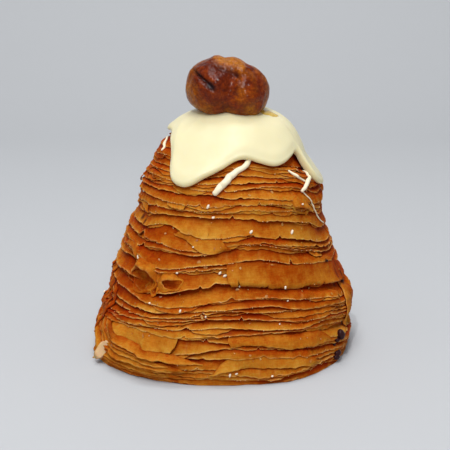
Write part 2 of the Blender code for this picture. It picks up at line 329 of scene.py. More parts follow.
class Nodes:
    """A material's node tree, with short calls for its parts."""

    def __init__(self, name):
        self.material = bpy.data.materials.new(name)
        self.material.use_nodes = True
        self.tree = self.material.node_tree
        self.shader = self.tree.nodes["Principled BSDF"]

    def put(self, socket, value):
        """Links an output to a socket, or sets the socket's own value."""
        if isinstance(value, bpy.types.NodeSocket):
            self.tree.links.new(value, socket)
        elif isinstance(value, tuple) and len(value) == 3 and socket.type == "RGBA":
            socket.default_value = (*value, 1)
        else:
            socket.default_value = value

    def add(self, kind, settings=(), **inputs):
        """A node with its settings and with its inputs, named with _ for each space."""
        node = self.tree.nodes.new(kind)
        for key, value in dict(settings).items():
            setattr(node, key, value)
        for key, value in inputs.items():
            self.put(node.inputs[key.replace("_", " ")], value)
        return node

    def noise(self, size, detail=3.0, rough=0.5, stretch=(1, 1, 1)):
        """Noise in 0..1 with features about this many millimetres across."""
        spot = self.add("ShaderNodeTexCoord").outputs["Object"]
        spot = self.add("ShaderNodeMapping", Vector=spot, Scale=stretch).outputs["Vector"]
        scale = 1 / (size * MM)
        made = self.add(
            "ShaderNodeTexNoise", Vector=spot, Scale=scale, Detail=detail, Roughness=rough
        )
        return made.outputs["Fac"]

    def attribute(self, name):
        """The value of one of the mesh's attributes."""
        return self.add("ShaderNodeAttribute", {"attribute_name": name}).outputs["Fac"]

    def openness(self, reach):
        """1 on open ground, falling towards 0 in gaps and hollows this many millimetres deep."""
        made = self.add("ShaderNodeAmbientOcclusion", {"samples": 6}, Distance=reach * MM)
        return made.outputs["AO"]

    def math(self, kind, a, b=0.0):
        """The result of one sum, product or the like."""
        node = self.add("ShaderNodeMath", {"operation": kind})
        self.put(node.inputs[0], a)
        self.put(node.inputs[1], b)
        return node.outputs[0]

    def sum(self, *terms):
        """The sum of (value, weight) pairs."""
        total = 0.0
        for value, weight in terms:
            total = self.math("ADD", self.math("MULTIPLY", value, weight), total)
        return total

    def range(self, value, low, high, to_low=0.0, to_high=1.0):
        """The value carried from low..high to to_low..to_high and held inside it."""
        made = self.add(
            "ShaderNodeMapRange", Value=value, From_Min=low, From_Max=high, To_Min=to_low,
            To_Max=to_high,
        )
        return made.outputs["Result"]

    def mix(self, factor, a, b, kind="MIX"):
        """Two colours mixed by a factor."""
        node = self.add("ShaderNodeMix", {"data_type": "RGBA", "blend_type": kind})
        self.put(node.inputs[0], factor)
        self.put(node.inputs[6], a)
        self.put(node.inputs[7], b)
        return node.outputs[2]

    def ramp(self, value, *stops):
        """A colour ramp through (position, colour) stops."""
        node = self.add("ShaderNodeValToRGB", Fac=value)
        elements = node.color_ramp.elements
        while len(elements) < len(stops):
            elements.new(0.5)
        for element, (position, colour) in zip(elements, stops):
            element.position, element.color = position, (*colour, 1)
        return node.outputs["Color"]

    def bump(self, height, depth, strength=1.0):
        """A normal from a height in 0..1 that stands for this many millimetres."""
        node = self.add("ShaderNodeBump", Height=height, Distance=depth * MM, Strength=strength)
        return node.outputs["Normal"]

    def finish(self, **inputs):
        """Sets the shader's inputs and gives the finished material."""
        for key, value in inputs.items():
            self.put(self.shader.inputs[key.replace("_", " ")], value)
        return self.material


def pastry_material():
    """Baked dough: ochre brown, paler along the free edges as a painted highlight, redder and
    darker in the gaps as painted shade.
    """
    n = Nodes("baked_dough")
    broad = n.noise(10.0, 2.0)
    mottle = n.noise(2.4, 4.0, 0.6)
    plies = n.noise(0.35, 2.0, 0.5, (0.12, 0.12, 1.0))
    streaks = n.noise(0.5, 2.0, 0.5, (1.0, 1.0, 0.14))
    fine = n.noise(0.4, 3.0, 0.65)
    value = n.sum((broad, 0.28), (mottle, 0.34), (plies, 0.14), (streaks, 0.12), (fine, 0.12))
    # The tone attribute holds random tone and also painted shade: darker under the leaf above and
    # on the left and right sides.
    value = n.math("ADD", value, n.math("MULTIPLY", n.attribute("tone"), 0.14))
    base = n.ramp(
        value,
        (0.26, (0.225, 0.020, 0.0006)),
        (0.41, (0.335, 0.057, 0.0020)),
        (0.54, (0.435, 0.132, 0.0088)),
        (0.66, (0.505, 0.207, 0.0210)),
        (0.82, (0.600, 0.296, 0.0520)),
    )
    # Painted highlight: paler along the leaves' free edges, patchy.
    edge = n.range(broad, 0.3, 0.6, 0.35, 1.0)
    edge = n.math("MULTIPLY", n.range(mottle, 0.35, 0.60, 0.05, 0.95), edge)
    edge = n.math("MULTIPLY", n.attribute("edge"), edge)
    colour = n.mix(edge, base, (0.72, 0.39, 0.12))
    # Painted shade: redder and darker under the leaf above, on the undersides and in the pockets.
    colour = n.mix(n.math("MULTIPLY", n.attribute("deep"), 0.7), colour, (0.225, 0.0125, 0.0003))
    # Painted shade: ambient occlusion darkens and reddens the colour in gaps and hollows.
    gap = n.range(n.openness(4.0), 0.80, 0.20)
    colour = n.mix(gap, colour, (0.80, 0.34, 0.14), "MULTIPLY")
    colour = n.mix(n.attribute("pale"), colour, (0.82, 0.52, 0.30))
    colour = n.mix(n.attribute("ember"), colour, (0.20, 0.020, 0.006))
    colour = n.mix(n.attribute("scorch"), colour, (0.032, 0.008, 0.008))
    height = n.sum((mottle, 0.45), (fine, 0.30), (streaks, 0.2), (plies, 0.25))
    return n.finish(
        Base_Color=colour,
        Roughness=n.range(fine, 0.3, 0.7, 0.50, 0.66),
        Specular_IOR_Level=0.015,
        Subsurface_Weight=0.22,
        Subsurface_Radius=(1.0, 0.22, 0.04),
        Subsurface_Scale=0.0016,
        Normal=n.bump(height, 0.30, 0.8),
    )


def icing_material():
    """Set icing: ivory with a soft gloss, yellower where it is thin."""
    n = Nodes("set_icing")
    broad = n.noise(13.0, 2.0)
    fine = n.noise(1.4, 3.0)
    colour = n.mix(n.range(broad, 0.3, 0.7), (0.728, 0.660, 0.408), (0.755, 0.694, 0.442))
    colour = n.mix(n.math("MULTIPLY", n.attribute("thin"), 0.55), colour, (0.74, 0.60, 0.28))
    height = n.sum((n.noise(6.0, 2.0), 1.0), (fine, 0.10))
    return n.finish(
        Base_Color=colour,
        Roughness=n.range(fine, 0.3, 0.7, 0.34, 0.44),
        Specular_IOR_Level=0.30,
        Subsurface_Weight=0.30,
        Subsurface_Radius=(1.0, 0.8, 0.45),
        Subsurface_Scale=0.003,
        Normal=n.bump(height, 0.35, 0.3),
    )


def chestnut_material():
    """Candied chestnut: dark red brown, wrinkled under a wet sugar coat, amber at the rims partly
    as its own colour and partly as a painted glow of light through them, with painted shade on
    top, in the creases, in the crevice and under the fold.
    """
    n = Nodes("candied_chestnut")
    cloud = n.noise(4.5, 4.0, 0.6)
    veins = n.noise(1.3, 4.0, 0.6)
    fine = n.noise(0.45, 3.0, 0.6)
    folds = n.math("ABSOLUTE", n.math("SUBTRACT", n.noise(1.7, 2.0, 0.5, (1.0, 1.0, 1.4)), 0.5))
    # Painted shade: the upward attribute darkens where the skin faces up.
    value = n.sum((cloud, 0.5), (veins, 0.5), (n.attribute("upward"), -0.20))
    red = n.ramp(
        value,
        (0.36, (0.080, 0.0075, 0.0002)),
        (0.50, (0.175, 0.0215, 0.0003)),
        (0.66, (0.290, 0.0540, 0.0005)),
    )
    gold = n.ramp(value, (0.34, (0.27, 0.058, 0.0002)), (0.66, (0.45, 0.165, 0.0020)))
    # Amber: partly the skin's own colour, partly a painted glow of light through the rims.
    colour = n.mix(n.attribute("amber"), red, gold)
    # Painted shade in the creases of the wrinkles.
    colour = n.mix(n.range(folds, 0.0, 0.10, 0.40, 0.0), colour, (0.060, 0.005, 0.0003))
    # Painted shade in the crevice and under the fold, with dark blotches of the skin's own.
    colour = n.mix(n.attribute("dark"), colour, (0.016, 0.003, 0.004))
    height = n.sum((veins, 0.4), (fine, 0.10), (folds, 0.9), (n.noise(2.6, 3.0, 0.6), 0.9))
    wet = n.sum((n.noise(0.9, 1.0), 0.5), (n.noise(1.5, 1.0), 1.0), (n.noise(3.2, 1.0), 1.2))
    return n.finish(
        Base_Color=colour,
        Roughness=n.range(fine, 0.3, 0.7, 0.20, 0.30),
        Specular_IOR_Level=0.03,
        Coat_Weight=0.26,
        Coat_IOR=1.5,
        Coat_Roughness=0.07,
        Coat_Normal=n.bump(wet, 0.38, 1.0),
        Normal=n.bump(height, 0.5, 1.0),
    )


def plain_material(name, colour, other, size, roughness, **more):
    """A two-toned mottled material for the small pieces."""
    n = Nodes(name)
    mottle = n.noise(size, 3.0, 0.6)
    return n.finish(
        Base_Color=n.mix(n.range(mottle, 0.3, 0.7), colour, other),
        Roughness=n.range(mottle, 0.3, 0.7, roughness, roughness + 0.12),
        Normal=n.bump(mottle, 0.15, 0.5),
        **more,
    )


# ---------------------------------------------------------------- the leaves of dough

COLUMNS = 720  # round the bell
BACK = 90.0  # the azimuth where one turn of the strip ends and the next begins
LEAF_THICK = 0.20
CLEARANCE = LEAF_THICK + 0.04
COVER = 2.4  # how far a leaf runs on under the leaf above
FLARE = 1.5  # above 1 a leaf bends outward towards its free edge
TURN_LENGTH = 207.0  # mm of strip that one turn counts for, where noise runs along the strip
MM_PER_COLUMN = 0.29  # of that strip
GAP_SHIFT = 360  # how far back along the strip a leaf's gap takes its noise
MM_PER_DEGREE = 0.62  # round a middling part of the wall
LOWER_FROM = 20  # the loose sheets over turns after this one are a piece of their own
FOOT_FROM = 29  # the edges of this turn and those below it are torn more
UNEVEN_FROM, UNEVEN_MORE = 27, 2.2  # this turn and those below it stand off more unevenly
ICED_TURNS, ICED_DEPTH = 4, 0.25  # the first turns lie a little deeper, under the icing
STRIP_PIECES = 4
CORE_DEPTH = 3.6  # how far the core lies behind the wall

# Heights of each leaf's free edge over the front half of the bell, at these azimuths.
FRONT_AT = (-150, -125, -105, -90, -75, -55, -38, -18)
FRONT_EDGES = [
    (77.6, 77.6, 77.6, 77.6, 77.6, 77.6, 77.6, 77.6),
    (75.0, 75.0, 75.0, 75.0, 75.0, 75.0, 74.8, 74.4),
    (72.2, 72.2, 72.2, 72.2, 72.0, 71.6, 71.2, 70.6),
    (69.4, 69.4, 69.6, 69.8, 69.2, 68.6, 67.6, 66.4),
    (66.5, 66.5, 66.8, 67.6, 66.8, 65.4, 64.0, 62.0),
    (64.0, 64.0, 64.2, 65.0, 64.6, 63.4, 61.8, 59.4),
    (62.0, 62.0, 62.0, 62.6, 62.5, 61.2, 59.6, 57.0),
    (60.2, 60.0, 60.2, 60.6, 60.2, 59.4, 58.2, 55.4),
    (58.4, 58.8, 58.6, 58.7, 59.2, 58.3, 57.0, 54.0),
    (56.8, 57.2, 57.3, 56.1, 56.4, 54.7, 53.2, 50.4),
    (54.4, 54.2, 53.8, 54.2, 54.1, 53.2, 52.2, 48.8),
    (51.4, 51.6, 51.8, 52.0, 51.8, 51.0, 50.0, 46.8),
    (48.6, 50.0, 50.2, 50.0, 49.4, 47.8, 46.2, 42.0),
    (44.2, 46.8, 43.5, 43.6, 44.0, 42.3, 40.5, 37.3),
    (41.0, 40.6, 40.3, 42.0, 42.4, 40.4, 38.6, 36.0),
    (38.0, 39.4, 38.8, 40.5, 41.4, 38.7, 36.6, 34.3),
    (36.0, 33.6, 35.4, 36.6, 37.3, 34.7, 33.0, 31.0),
    (33.4, 32.5, 34.2, 35.1, 35.9, 33.7, 32.0, 29.4),
    (28.6, 25.6, 28.8, 30.0, 29.6, 27.8, 26.4, 24.2),
    (24.0, 22.5, 23.6, 25.5, 25.6, 23.8, 21.8, 19.4),
    (20.4, 20.3, 22.3, 23.1, 23.3, 20.8, 19.4, 17.4),
    (17.8, 18.9, 20.7, 22.0, 21.2, 20.0, 18.8, 16.2),
    (15.8, 17.5, 19.6, 19.9, 19.6, 17.2, 16.1, 14.2),
    (14.8, 15.7, 17.1, 17.8, 16.7, 15.0, 15.2, 12.8),
    (13.6, 14.4, 14.2, 15.2, 15.3, 14.2, 13.4, 11.2),
    (12.4, 12.4, 13.6, 12.9, 11.7, 9.6, 8.2, 6.8),
    (11.2, 7.6, 9.0, 11.1, 10.6, 8.8, 6.6, 5.2),
    (9.8, 5.9, 7.2, 8.2, 8.0, 6.2, 4.8, 3.8),
    (8.2, 4.2, 4.4, 5.0, 6.0, 5.0, 3.2, 2.4),
    (6.6, 2.9, 3.3, 3.1, 1.5, 1.9, 1.6, 1.2),
    (3.4, 1.0, 1.3, 1.6, 0.5, 0.7, 0.6, 0.5),
    (-0.6, -0.7, -0.5, -0.6, -0.7, -0.5, -0.6, -0.6),
    (-3.0, -3.0, -3.0, -3.0, -3.0, -3.0, -3.0, -3.0),
]
# Round the back the edges follow this even descent, as (turns, height).
EVEN_DESCENT = [(0.5, 77.0), (4.5, 66.0), (12.5, 48.6), (18.5, 31.0), (31.5, -0.6), (33.5, -4.6)]
USUAL_GAP = 1.05  # how far a leaf's free edge stands off the leaf below
LEAF_GAPS = {
    3: 0.5, 4: 0.7, 5: 0.7, 6: 0.75, 7: 0.7, 8: 0.6, 9: 0.8, 10: 0.85, 11: 0.85, 12: 1.1,
    15: 1.2, 16: 0.9, 17: 1.6, 18: 2.3, 19: 1.1, 20: 1.2, 21: 1.4, 22: 1.6, 23: 0.9, 24: 1.4,
    25: 1.0, 26: 1.7, 28: 1.2, 29: 1.0,
}
# Places where a leaf stands off more or less than elsewhere: leaf, azimuth, reach, mm.
MORE_GAP = [
    (14, -150, 13, 1.0), (22, -112, 18, 0.6), (22, -55, 20, -0.5), (17, -115, 12, -0.5),
    (11, -38, 7, 0.7), (14, -90, 12, -0.3), (9, -100, 10, 0.3), (21, -75, 14, 0.4),
    (19, -90, 10, 0.3),
]
# Notches torn into a leaf's free edge: leaf, azimuth, depth and half-width in mm.
NOTCHES = [
    (12, -88, 0.9, 0.5), (10, -72, 1.2, 0.35), (16, -55, 1.4, 0.5), (18, -103, 0.9, 0.4),
    (21, -56, 1.3, 0.45), (13, -60, 0.8, 0.35), (22, -84, 0.9, 0.4), (25, -98, 0.8, 0.5),
    (14, -146, 1.7, 1.5), (15, -142, 1.2, 0.8),
]
# Pockets where the sheets part: azimuth, height, half-width, half-height, depth, tilt in degrees,
# how high the fold over the pocket stands and the side it stands on (90 is above, 180 the left).
POCKETS = [
    (-137, 29.0, 6.4, 3.5, 3.2, 4, 1.5, 100),
    (-118, 29.7, 3.8, 1.5, 2.2, 8, 1.2, 150),
    (-153, 34.8, 5.0, 1.5, 1.9, -8, 0.6, 100),
    (-127, 27.6, 1.2, 1.9, 1.8, -28, 0.35, 100),
    (-43, 50.7, 3.8, 0.55, 0.9, -17, 0.9, 80),
    (62, 33.0, 4.2, 1.6, 1.6, 6, 0.7, 100),
    (128, 21.0, 4.4, 1.8, 1.8, -10, 0.8, 120),
    (172, 41.0, 3.0, 1.2, 1.4, 0, 0.6, 80),
]


def regular_height(turns):
    """Height of the strip's free edge after so many turns, where the descent is even."""
    turns_at, heights = zip(*EVEN_DESCENT)
    return np.interp(turns, turns_at, heights)


def edge_heights(turn, azimuth):
    """Smooth height of one leaf's free edge at unwrapped azimuths from BACK - 360 to BACK."""
    turns = turn + (azimuth - (BACK - 360)) / 360
    front = curve_at(FRONT_AT, FRONT_EDGES[turn], azimuth)
    outside = np.maximum(np.maximum(FRONT_AT[0] - azimuth, azimuth - FRONT_AT[-1]), 0)
    away = rise(0, 85, outside)
    z = front + (regular_height(turns) - front) * away
    place = on_wall(azimuth, distance_at_height(z), 0)
    wander = 1.3 * noise_at(place, 19, 11) + 0.5 * noise_at(place, 7, 12)
    return z + away * wander * rise(-1, 6, z)


def ragged(along, seed):
    """How far a leaf's edge reaches past its smooth line: ripples, torn steps and nicks."""
    reach = 0.26 * noise_along(along, 8, seed) + 0.15 * noise_along(along, 2.3, seed + 1)
    reach += 0.12 * noise_along(along, 0.8, seed + 2)
    rng = np.random.default_rng(seed + 3)
    total = float(along.max())
    at = 0.0
    while at < total:
        end = at + rng.uniform(5, 40)
        size, blunt = rng.uniform(-0.55, 0.45), rng.uniform(0.15, 0.6)
        before_end = 1 - rise(end - 0.2, end + 0.2, along)
        reach += size * rise(at - blunt, at + blunt, along) * before_end
        at = end + rng.uniform(0, 8)
    for centre in rng.uniform(0, total, int(total / 60)):
        reach -= rng.uniform(0.3, 1.0) * bump(along, centre, rng.uniform(0.2, 0.9))
    return reach


def mm_round(azimuth, at, height):
    """How far round the wall these azimuths lie from another, at its height."""
    return np.radians(angle_from(azimuth, at)) * radius_at_distance(distance_at_height(height))


def in_pocket(azimuth, z):
    """1 inside a pocket, falling to 0 at its rim, and the depth of the dent there."""
    inside, depth = np.zeros(np.shape(z)), np.zeros(np.shape(z))
    for at, height, half_width, half_height, deep, tilt, *_ in POCKETS:
        u, v = mm_round(azimuth, at, height), z - height
        u, v = turned(u, v, -tilt)
        q = np.hypot(u / half_width, v / half_height)
        inside = np.maximum(inside, 1 - rise(0.55, 1.05, q))
        depth = np.maximum(depth, deep * (1 - rise(0.3, 1.25, q)))
    return inside, depth


class Surface:
    """How far out the sheets laid so far reach, by column round the bell and distance down it."""

    STEP = 0.2  # mm down the wall
    BARE = -4.5  # the height where nothing is laid

    def __init__(self):
        self.out = np.full((COLUMNS, int(ALONG[-1] / self.STEP) + 3), self.BARE)

    def cell(self, azimuth, s):
        """The column and the level of some places."""
        column = np.rint((np.asarray(azimuth) - BACK) / 360 * COLUMNS).astype(int) % COLUMNS
        level = np.clip((np.asarray(s) / self.STEP).astype(int), 0, self.out.shape[1] - 2)
        return column, level

    def at(self, azimuth, s):
        """The height laid so far at some places."""
        column, level = self.cell(azimuth, s)
        return np.maximum(self.out[column, level], self.out[column, level + 1])

    def under(self, azimuth, s):
        """The highest place under each point of a grid and on the way to the next rows."""
        azimuth = np.broadcast_to(azimuth, s.shape)
        found = self.at(azimuth, s)
        for t in (0.25, 0.5, 0.75):
            a, b = ((1 - t) * v[:, :-1] + t * v[:, 1:] for v in (azimuth, s))
            way = self.at(a, b)
            found[:, :-1] = np.maximum(found[:, :-1], way)
            found[:, 1:] = np.maximum(found[:, 1:], way)
        return found

    def cover(self, azimuth, s, d, finer=10, wider=1):
        """Takes in a sheet given as a grid of columns by rows."""
        t = np.linspace(0, 1, finer, endpoint=False)[None, None]

        def between(v):
            v = np.broadcast_to(v, s.shape)
            return (v[:, :-1, None] * (1 - t) + v[:, 1:, None] * t).reshape(len(v), -1)

        azimuth, s, d = between(azimuth), between(s), between(d)
        for k in range(wider):
            u = k / wider
            a, b, c = ((1 - u) * v[:-1] + u * v[1:] for v in (azimuth, s, d))
            column, level = self.cell(a, b)
            np.maximum.at(self.out, (column, level), c)
        column, level = self.cell(azimuth[-1:], s[-1:])
        np.maximum.at(self.out, (column, level), d[-1:])


def rows_down(start, length):
    """Distances of a leaf's outer rows, from under the leaf above to the free edge."""
    start, length = start[:, None], length[:, None]
    body = np.maximum(length - 0.5, 0.1)
    steps = [start - COVER, start - 0.8, start, start + 0.25 * body, start + 0.5 * body]
    steps += [start + 0.75 * body, start + body, start + np.maximum(length - 0.2, 0.16)]
    return np.hstack([*steps, start + length])


def leaf_gap(turn, azimuth, along):
    """How far a leaf's free edge stands off the leaf below."""
    gap = LEAF_GAPS.get(turn, USUAL_GAP) + 0.42 * noise_along(along, 13, 201)
    gap += 0.20 * noise_along(along, 4, 202)
    for leaf, at, reach, more in MORE_GAP:
        if leaf == turn:
            gap = gap + more * bump(angle_from(azimuth, at), 0, reach)
    return gap


def creases(along, seed):
    """Narrow upright creases in the leaves, as 1 on a crease and 0 elsewhere."""
    rng = np.random.default_rng(seed)
    total = float(along.max())
    found = np.zeros_like(along)
    for centre in rng.uniform(0, total, int(total / 34)):
        near = np.abs(along - centre) < 2
        found[near] = np.maximum(found[near], bump(along[near], centre, rng.uniform(0.18, 0.4)))
    return found


def main_leaf(turn, azimuth, upper, edge, length, along, crease, surface):
    """Lays one turn of the strip and returns its outer rows' distances and heights."""
    s = rows_down(upper, length)
    gap = leaf_gap(turn - 1, azimuth, along - GAP_SHIFT)[:, None]
    width = np.maximum(edge - upper, 0.2)[:, None]
    inset = np.clip(np.minimum(gap, 0.35 + 0.46 * width), 0.3, 3.0)
    x = np.clip((s - upper[:, None]) / np.maximum(length, 0.3)[:, None], 0, 1)
    stand = 0.26 * noise_along(along, 7, 203) + 0.12 * noise_along(along, 2.4, 204) - 0.12
    if turn >= UNEVEN_FROM:
        stand = UNEVEN_MORE * stand
    d = stand[:, None] * x - inset * (1 - x**FLARE)
    d = d + 0.32 * np.minimum(s - upper[:, None], 0)
    d = d + 0.08 * rise(-0.55, 0, s - (upper + length)[:, None])
    d = d - 0.16 * crease[:, None] * rise(0, 0.3, x)
    place = on_wall(azimuth[:, None], s, 0)
    d = d + 0.10 * noise_at(place, 4.5, 205 + turn) * rise(0, 0.5, x)
    d = d - in_pocket(azimuth[:, None], place[..., 2])[1]
    if turn < ICED_TURNS:
        d = d - ICED_DEPTH
    under = surface.at(azimuth[:, None], s)
    under[:, 2:] = surface.under(azimuth[:, None], s[:, 2:])
    d = np.maximum(d, under + CLEARANCE)
    surface.cover(azimuth[:, None], s, d)
    return s, d


def with_underside(s, d):
    """Adds the thin edge and the visible part of the underside to a sheet's outer rows."""
    tip_s, tip_d = s[..., -1:], d[..., -1:]
    inner_s = [tip_s + 0.02, s[..., -3:-2], s[..., -4:-3]]
    inner_d = [tip_d - LEAF_THICK, d[..., -3:-2] - LEAF_THICK, d[..., -4:-3] - LEAF_THICK]
    return np.concatenate([s, *inner_s], -1), np.concatenate([d, *inner_d], -1)


def spots(azimuth, z, marks):
    """The strongest of some soft marks: azimuth, height, half-width, half-height, amount."""
    total = np.zeros(np.shape(z))
    for at, height, wide, tall, amount in marks:
        q = np.hypot(mm_round(azimuth, at, height) / wide, (z - height) / tall)
        total = np.maximum(total, amount * (1 - rise(0.5, 1.1, q)))
    return total


# Soft marks on the dough: azimuth, height, half-width, half-height, amount.
SCORCHED = [
    (-156.2, 46.2, 1.6, 1.3, 0.75), (-150.0, 45.6, 0.9, 1.5, 0.75),
    (-27.4, 32.0, 0.9, 0.7, 0.9), (-14.0, 22.6, 1.4, 1.2, 0.9), (-14.0, 25.6, 0.8, 1.5, 0.8),
    (-21.5, 23.5, 0.9, 0.6, 0.8), (-16.5, 29.7, 0.6, 1.3, 0.6), (-20.0, 26.5, 0.7, 2.6, 0.6),
    (-34.0, 62.2, 0.8, 1.6, 0.8), (-31.0, 58.6, 0.6, 1.3, 0.6), (-26.0, 19.8, 1.6, 0.6, 0.5),
    (30.0, 40.0, 1.6, 1.1, 0.6), (75.0, 15.0, 1.8, 0.9, 0.6), (140.0, 33.0, 1.4, 1.0, 0.6),
]
REDDENED = [
    (-90.0, 15.9, 2.6, 0.6, 0.6), (-97.0, 52.4, 1.6, 0.7, 0.35), (-18.0, 30.0, 4.0, 6.0, 0.25),
    (-112.0, 45.0, 3.0, 2.0, 0.15), (100.0, 27.0, 5.0, 2.0, 0.3),
]


def colour_fields(azimuth, s, edge, deep, tone):
    """The attributes that the dough's material reads, for a grid of columns by rows."""
    z = height_at_distance(s)
    azimuth = np.broadcast_to(azimuth, s.shape)
    inside, _ = in_pocket(azimuth, z)
    place = on_wall(azimuth, s, 0)
    right = rise(-60, 0, angle_from(azimuth, 0)) * rise(120, 60, angle_from(azimuth, 0))
    left = rise(70, 25, np.abs(angle_from(azimuth, 178)))
    low = rise(30, 4, z)
    left = left * (1 - 0.8 * bump(z, 29, 4) - 0.7 * rise(8, 2, z))
    right = right * (1 - 0.5 * rise(22, 8, z))
    tone = tone + 0.15 * low + 0.25 * bump(z, 45, 9) - 0.3 * bump(z, 25, 7)
    # Painted shade: the left and right sides are darker, as the light falls off there.
    tone = tone - 0.95 * right - 0.75 * left
    tone = tone + 0.30 * noise_at(place, 14, 303)
    singed = rise(0.45, 0.9, noise_at(place, 6, 304) + 0.35 * right) * edge * 0.45
    # The painted highlight and the painted shade are weaker towards the top.
    soft = 1 - 0.35 * rise(36, 46, z)
    # edge carries the painted highlight; deep carries the painted shade, also inside the pockets.
    return {
        "edge": np.clip(edge, 0, 1) * soft,
        "deep": np.clip(np.maximum(deep * soft, 0.4 * inside), 0, 1),
        "tone": tone,
        "scorch": np.maximum(spots(azimuth, z, SCORCHED), singed * (right + 0.15)),
        "ember": spots(azimuth, z, REDDENED),
        "pale": 0.0 * tone,
    }


def shade_rows(s, upper):
    """How near each row is to the free edge, for the painted highlight, and how far under the leaf
    above, for the painted shade; the underside rows get painted shade too.
    """
    outer = s.shape[-1] - 3
    to_edge = s[..., outer - 1 : outer] - s
    edge = 1 - rise(0.0, 0.42, to_edge)
    below = s - upper[..., None]
    deep = 1 - rise(-0.3, 1.6, below)
    deep[..., outer:] = 0.9
    edge[..., outer] = 0.8
    edge[..., outer + 1 :] = 0.0
    return edge, deep


def lighter_to_edge(s, upper):
    """Painted shade: a leaf's tone rises from where it comes out under the leaf above to its free
    edge.
    """
    outer = s.shape[-1] - 3
    width = np.maximum(s[..., outer - 1] - upper, 0.5)[..., None]
    return 1.5 * np.clip((s - upper[..., None]) / width, 0, 1) - 0.85


def strip_uv(first, last, depth, turns):
    """A bake map for a run of the strip: across is round the bell, up is turn by turn."""
    column = np.arange(first, last - 1)
    across = (column % COLUMNS) / COLUMNS
    turn = column // COLUMNS - first // COLUMNS
    row = np.arange(depth - 1)
    up = (turn[:, None] + (row[None] + 0.15) / (depth + 0.3)) / turns
    high = up + 1 / (depth + 0.3) / turns
    wide = 1 / COLUMNS
    left = np.broadcast_to(across[:, None], up.shape)
    corners = [(left, up), (left + wide, up), (left + wide, high), (left, high)]
    return np.stack([np.stack(corner, -1) for corner in corners], -2).reshape(-1, 2)


def loose_sheet(over, path, width, lift, tone, free=(False, False), cracks=(), slant=0.6):
    """A loose sheet: the leaf it lies on, its tone and what lay_sheet is told of its shape."""
    return over, tone, (path, width, lift, free, cracks, slant)


# Loose sheets over or between the leaves. Each lies on the named leaf, under the leaf above, and
# follows a path of its free edge, as (azimuth, height), with its other side to the left of it.
LOOSE_SHEETS = [
    # wide outer band
    loose_sheet(
        over=17, width=7.6, lift=0.12, tone=0.2, free=(True, False),
        path=[(-90, 29.4), (-83, 29.6), (-78, 29.3), (-68, 28.1), (-60, 27.6), (-49, 26.6),
              (-33, 25.5), (-15, 23.4), (0, 22.6)],
        cracks=[(0.055, 1.8, 0.22), (0.22, 0.7, 0.3), (0.61, 0.8, 0.3)],
    ),
    # inner right band
    loose_sheet(
        over=25, width=4.6, lift=0.2, tone=0.1, free=(True, False),
        path=[(-89, 12.0), (-82, 11.9), (-72, 11.0), (-62, 9.6), (-48, 8.4), (-36, 7.6)],
    ),
    # light flap
    loose_sheet(
        over=25, width=6.4, lift=0.9, tone=0.7, free=(False, True), slant=2.4,
        path=[(-150, 12.6), (-143, 11.2), (-135, 9.8), (-127, 9.0), (-119, 8.8), (-112, 9.2),
              (-107.6, 10.0)],
    ),
    # curl under the first icing drip
    loose_sheet(
        over=11, width=3.0, lift=0.55, tone=0.3,
        free=(True, True), path=[(-131, 53.4), (-125, 52.3), (-119, 52.0), (-115, 53.0)],
    ),
    # diagonal sheet on the left
    loose_sheet(
        over=14, width=5.2, lift=0.15, tone=-0.1,
        path=[(-121, 44.6), (-114, 43.2), (-109, 41.4), (-104, 40.0), (-97, 39.6), (-88, 40.4)],
    ),
    # right wrap
    loose_sheet(
        over=19, width=11.0, lift=0.25, tone=0.5,
        path=[(-14, 25.5), (-18, 21.5), (-22, 17.0), (-23.5, 12.5), (-22, 9.0), (-17, 7.2)],
    ),
    # front tongue
    loose_sheet(
        over=28, width=4.4, lift=0.45, tone=0.5,
        path=[(-95, 2.6), (-90, 4.0), (-82, 4.8), (-72, 4.4), (-60, 3.4), (-46, 2.7)],
    ),
]
PLIES, LOW_PLIES, LOW_PLIES_OVER = 6, 9, 23  # on a leaf, and on those of turns after this one
SHEET_STEP = 0.34  # mm between a sheet's columns of points
SHEET_ROWS = (1.0, 0.8, 0.58, 0.38, 0.2)  # places of its inner rows: 1 is the hidden side
# The gather of plies at the lower left runs from the outer of these paths to the inner.
GATHER_OVER, GATHER_COUNT = 25, 8  # the leaf they lie on and how many there are
GATHER_OUTER = [(-170, 15.0), (-165, 8.0), (-158, 3.2), (-147, 0.4), (-130, -0.2), (-112, -0.3)]
GATHER_INNER = [(-154, 18.5), (-151, 13.6), (-145, 10.0), (-135, 8.0), (-121, 7.0), (-108, 6.6)]
# Upright folds at the far left, as (azimuth at the top, azimuth at the foot, top, foot).
UPRIGHT_OVER = 18  # the leaf they lie on
UPRIGHT_FOLDS = [
    (-184, -181, 30, 7), (-178, -174, 27, 4), (-172, -167, 29, 6), (-166, -161, 25, 8),
    (-160, -156, 23, 11),
]


def along_path(path):
    """Even steps along a sheet's path: azimuths, distances down the wall and mm along it."""
    dense = through(np.array(path, float), 60)
    s = distance_at_height(dense[:, 1])
    steps = np.hypot(np.diff(dense[:, 0]) * MM_PER_DEGREE, np.diff(s))
    length = np.concatenate([[0], np.cumsum(steps)])
    count = max(8, int(length[-1] / SHEET_STEP))
    along = np.linspace(0, 1, count) * length[-1]
    return np.interp(along, length, dense[:, 0]), np.interp(along, length, s), along


def sheet_taper(t, free):
    """1 in a sheet's middle, falling to 0 at the ends that are not free."""
    taper = np.ones(len(t))
    if not free[0]:
        taper *= rise(0, 0.22, t) ** 0.7
    if not free[1]:
        taper *= rise(0, 0.22, 1 - t) ** 0.7
    return taper


def drape(surface, azimuth, s):
    """The smoothed height of what lies under a sheet."""
    smooth = surface.under(azimuth, s)
    for _ in range(3):
        smooth[1:-1] = np.maximum(smooth[1:-1], (smooth[:-2] + smooth[2:]) / 2)
        smooth[:, 1:-1] = np.maximum(smooth[:, 1:-1], (smooth[:, :-2] + smooth[:, 2:]) / 2)
    return smooth


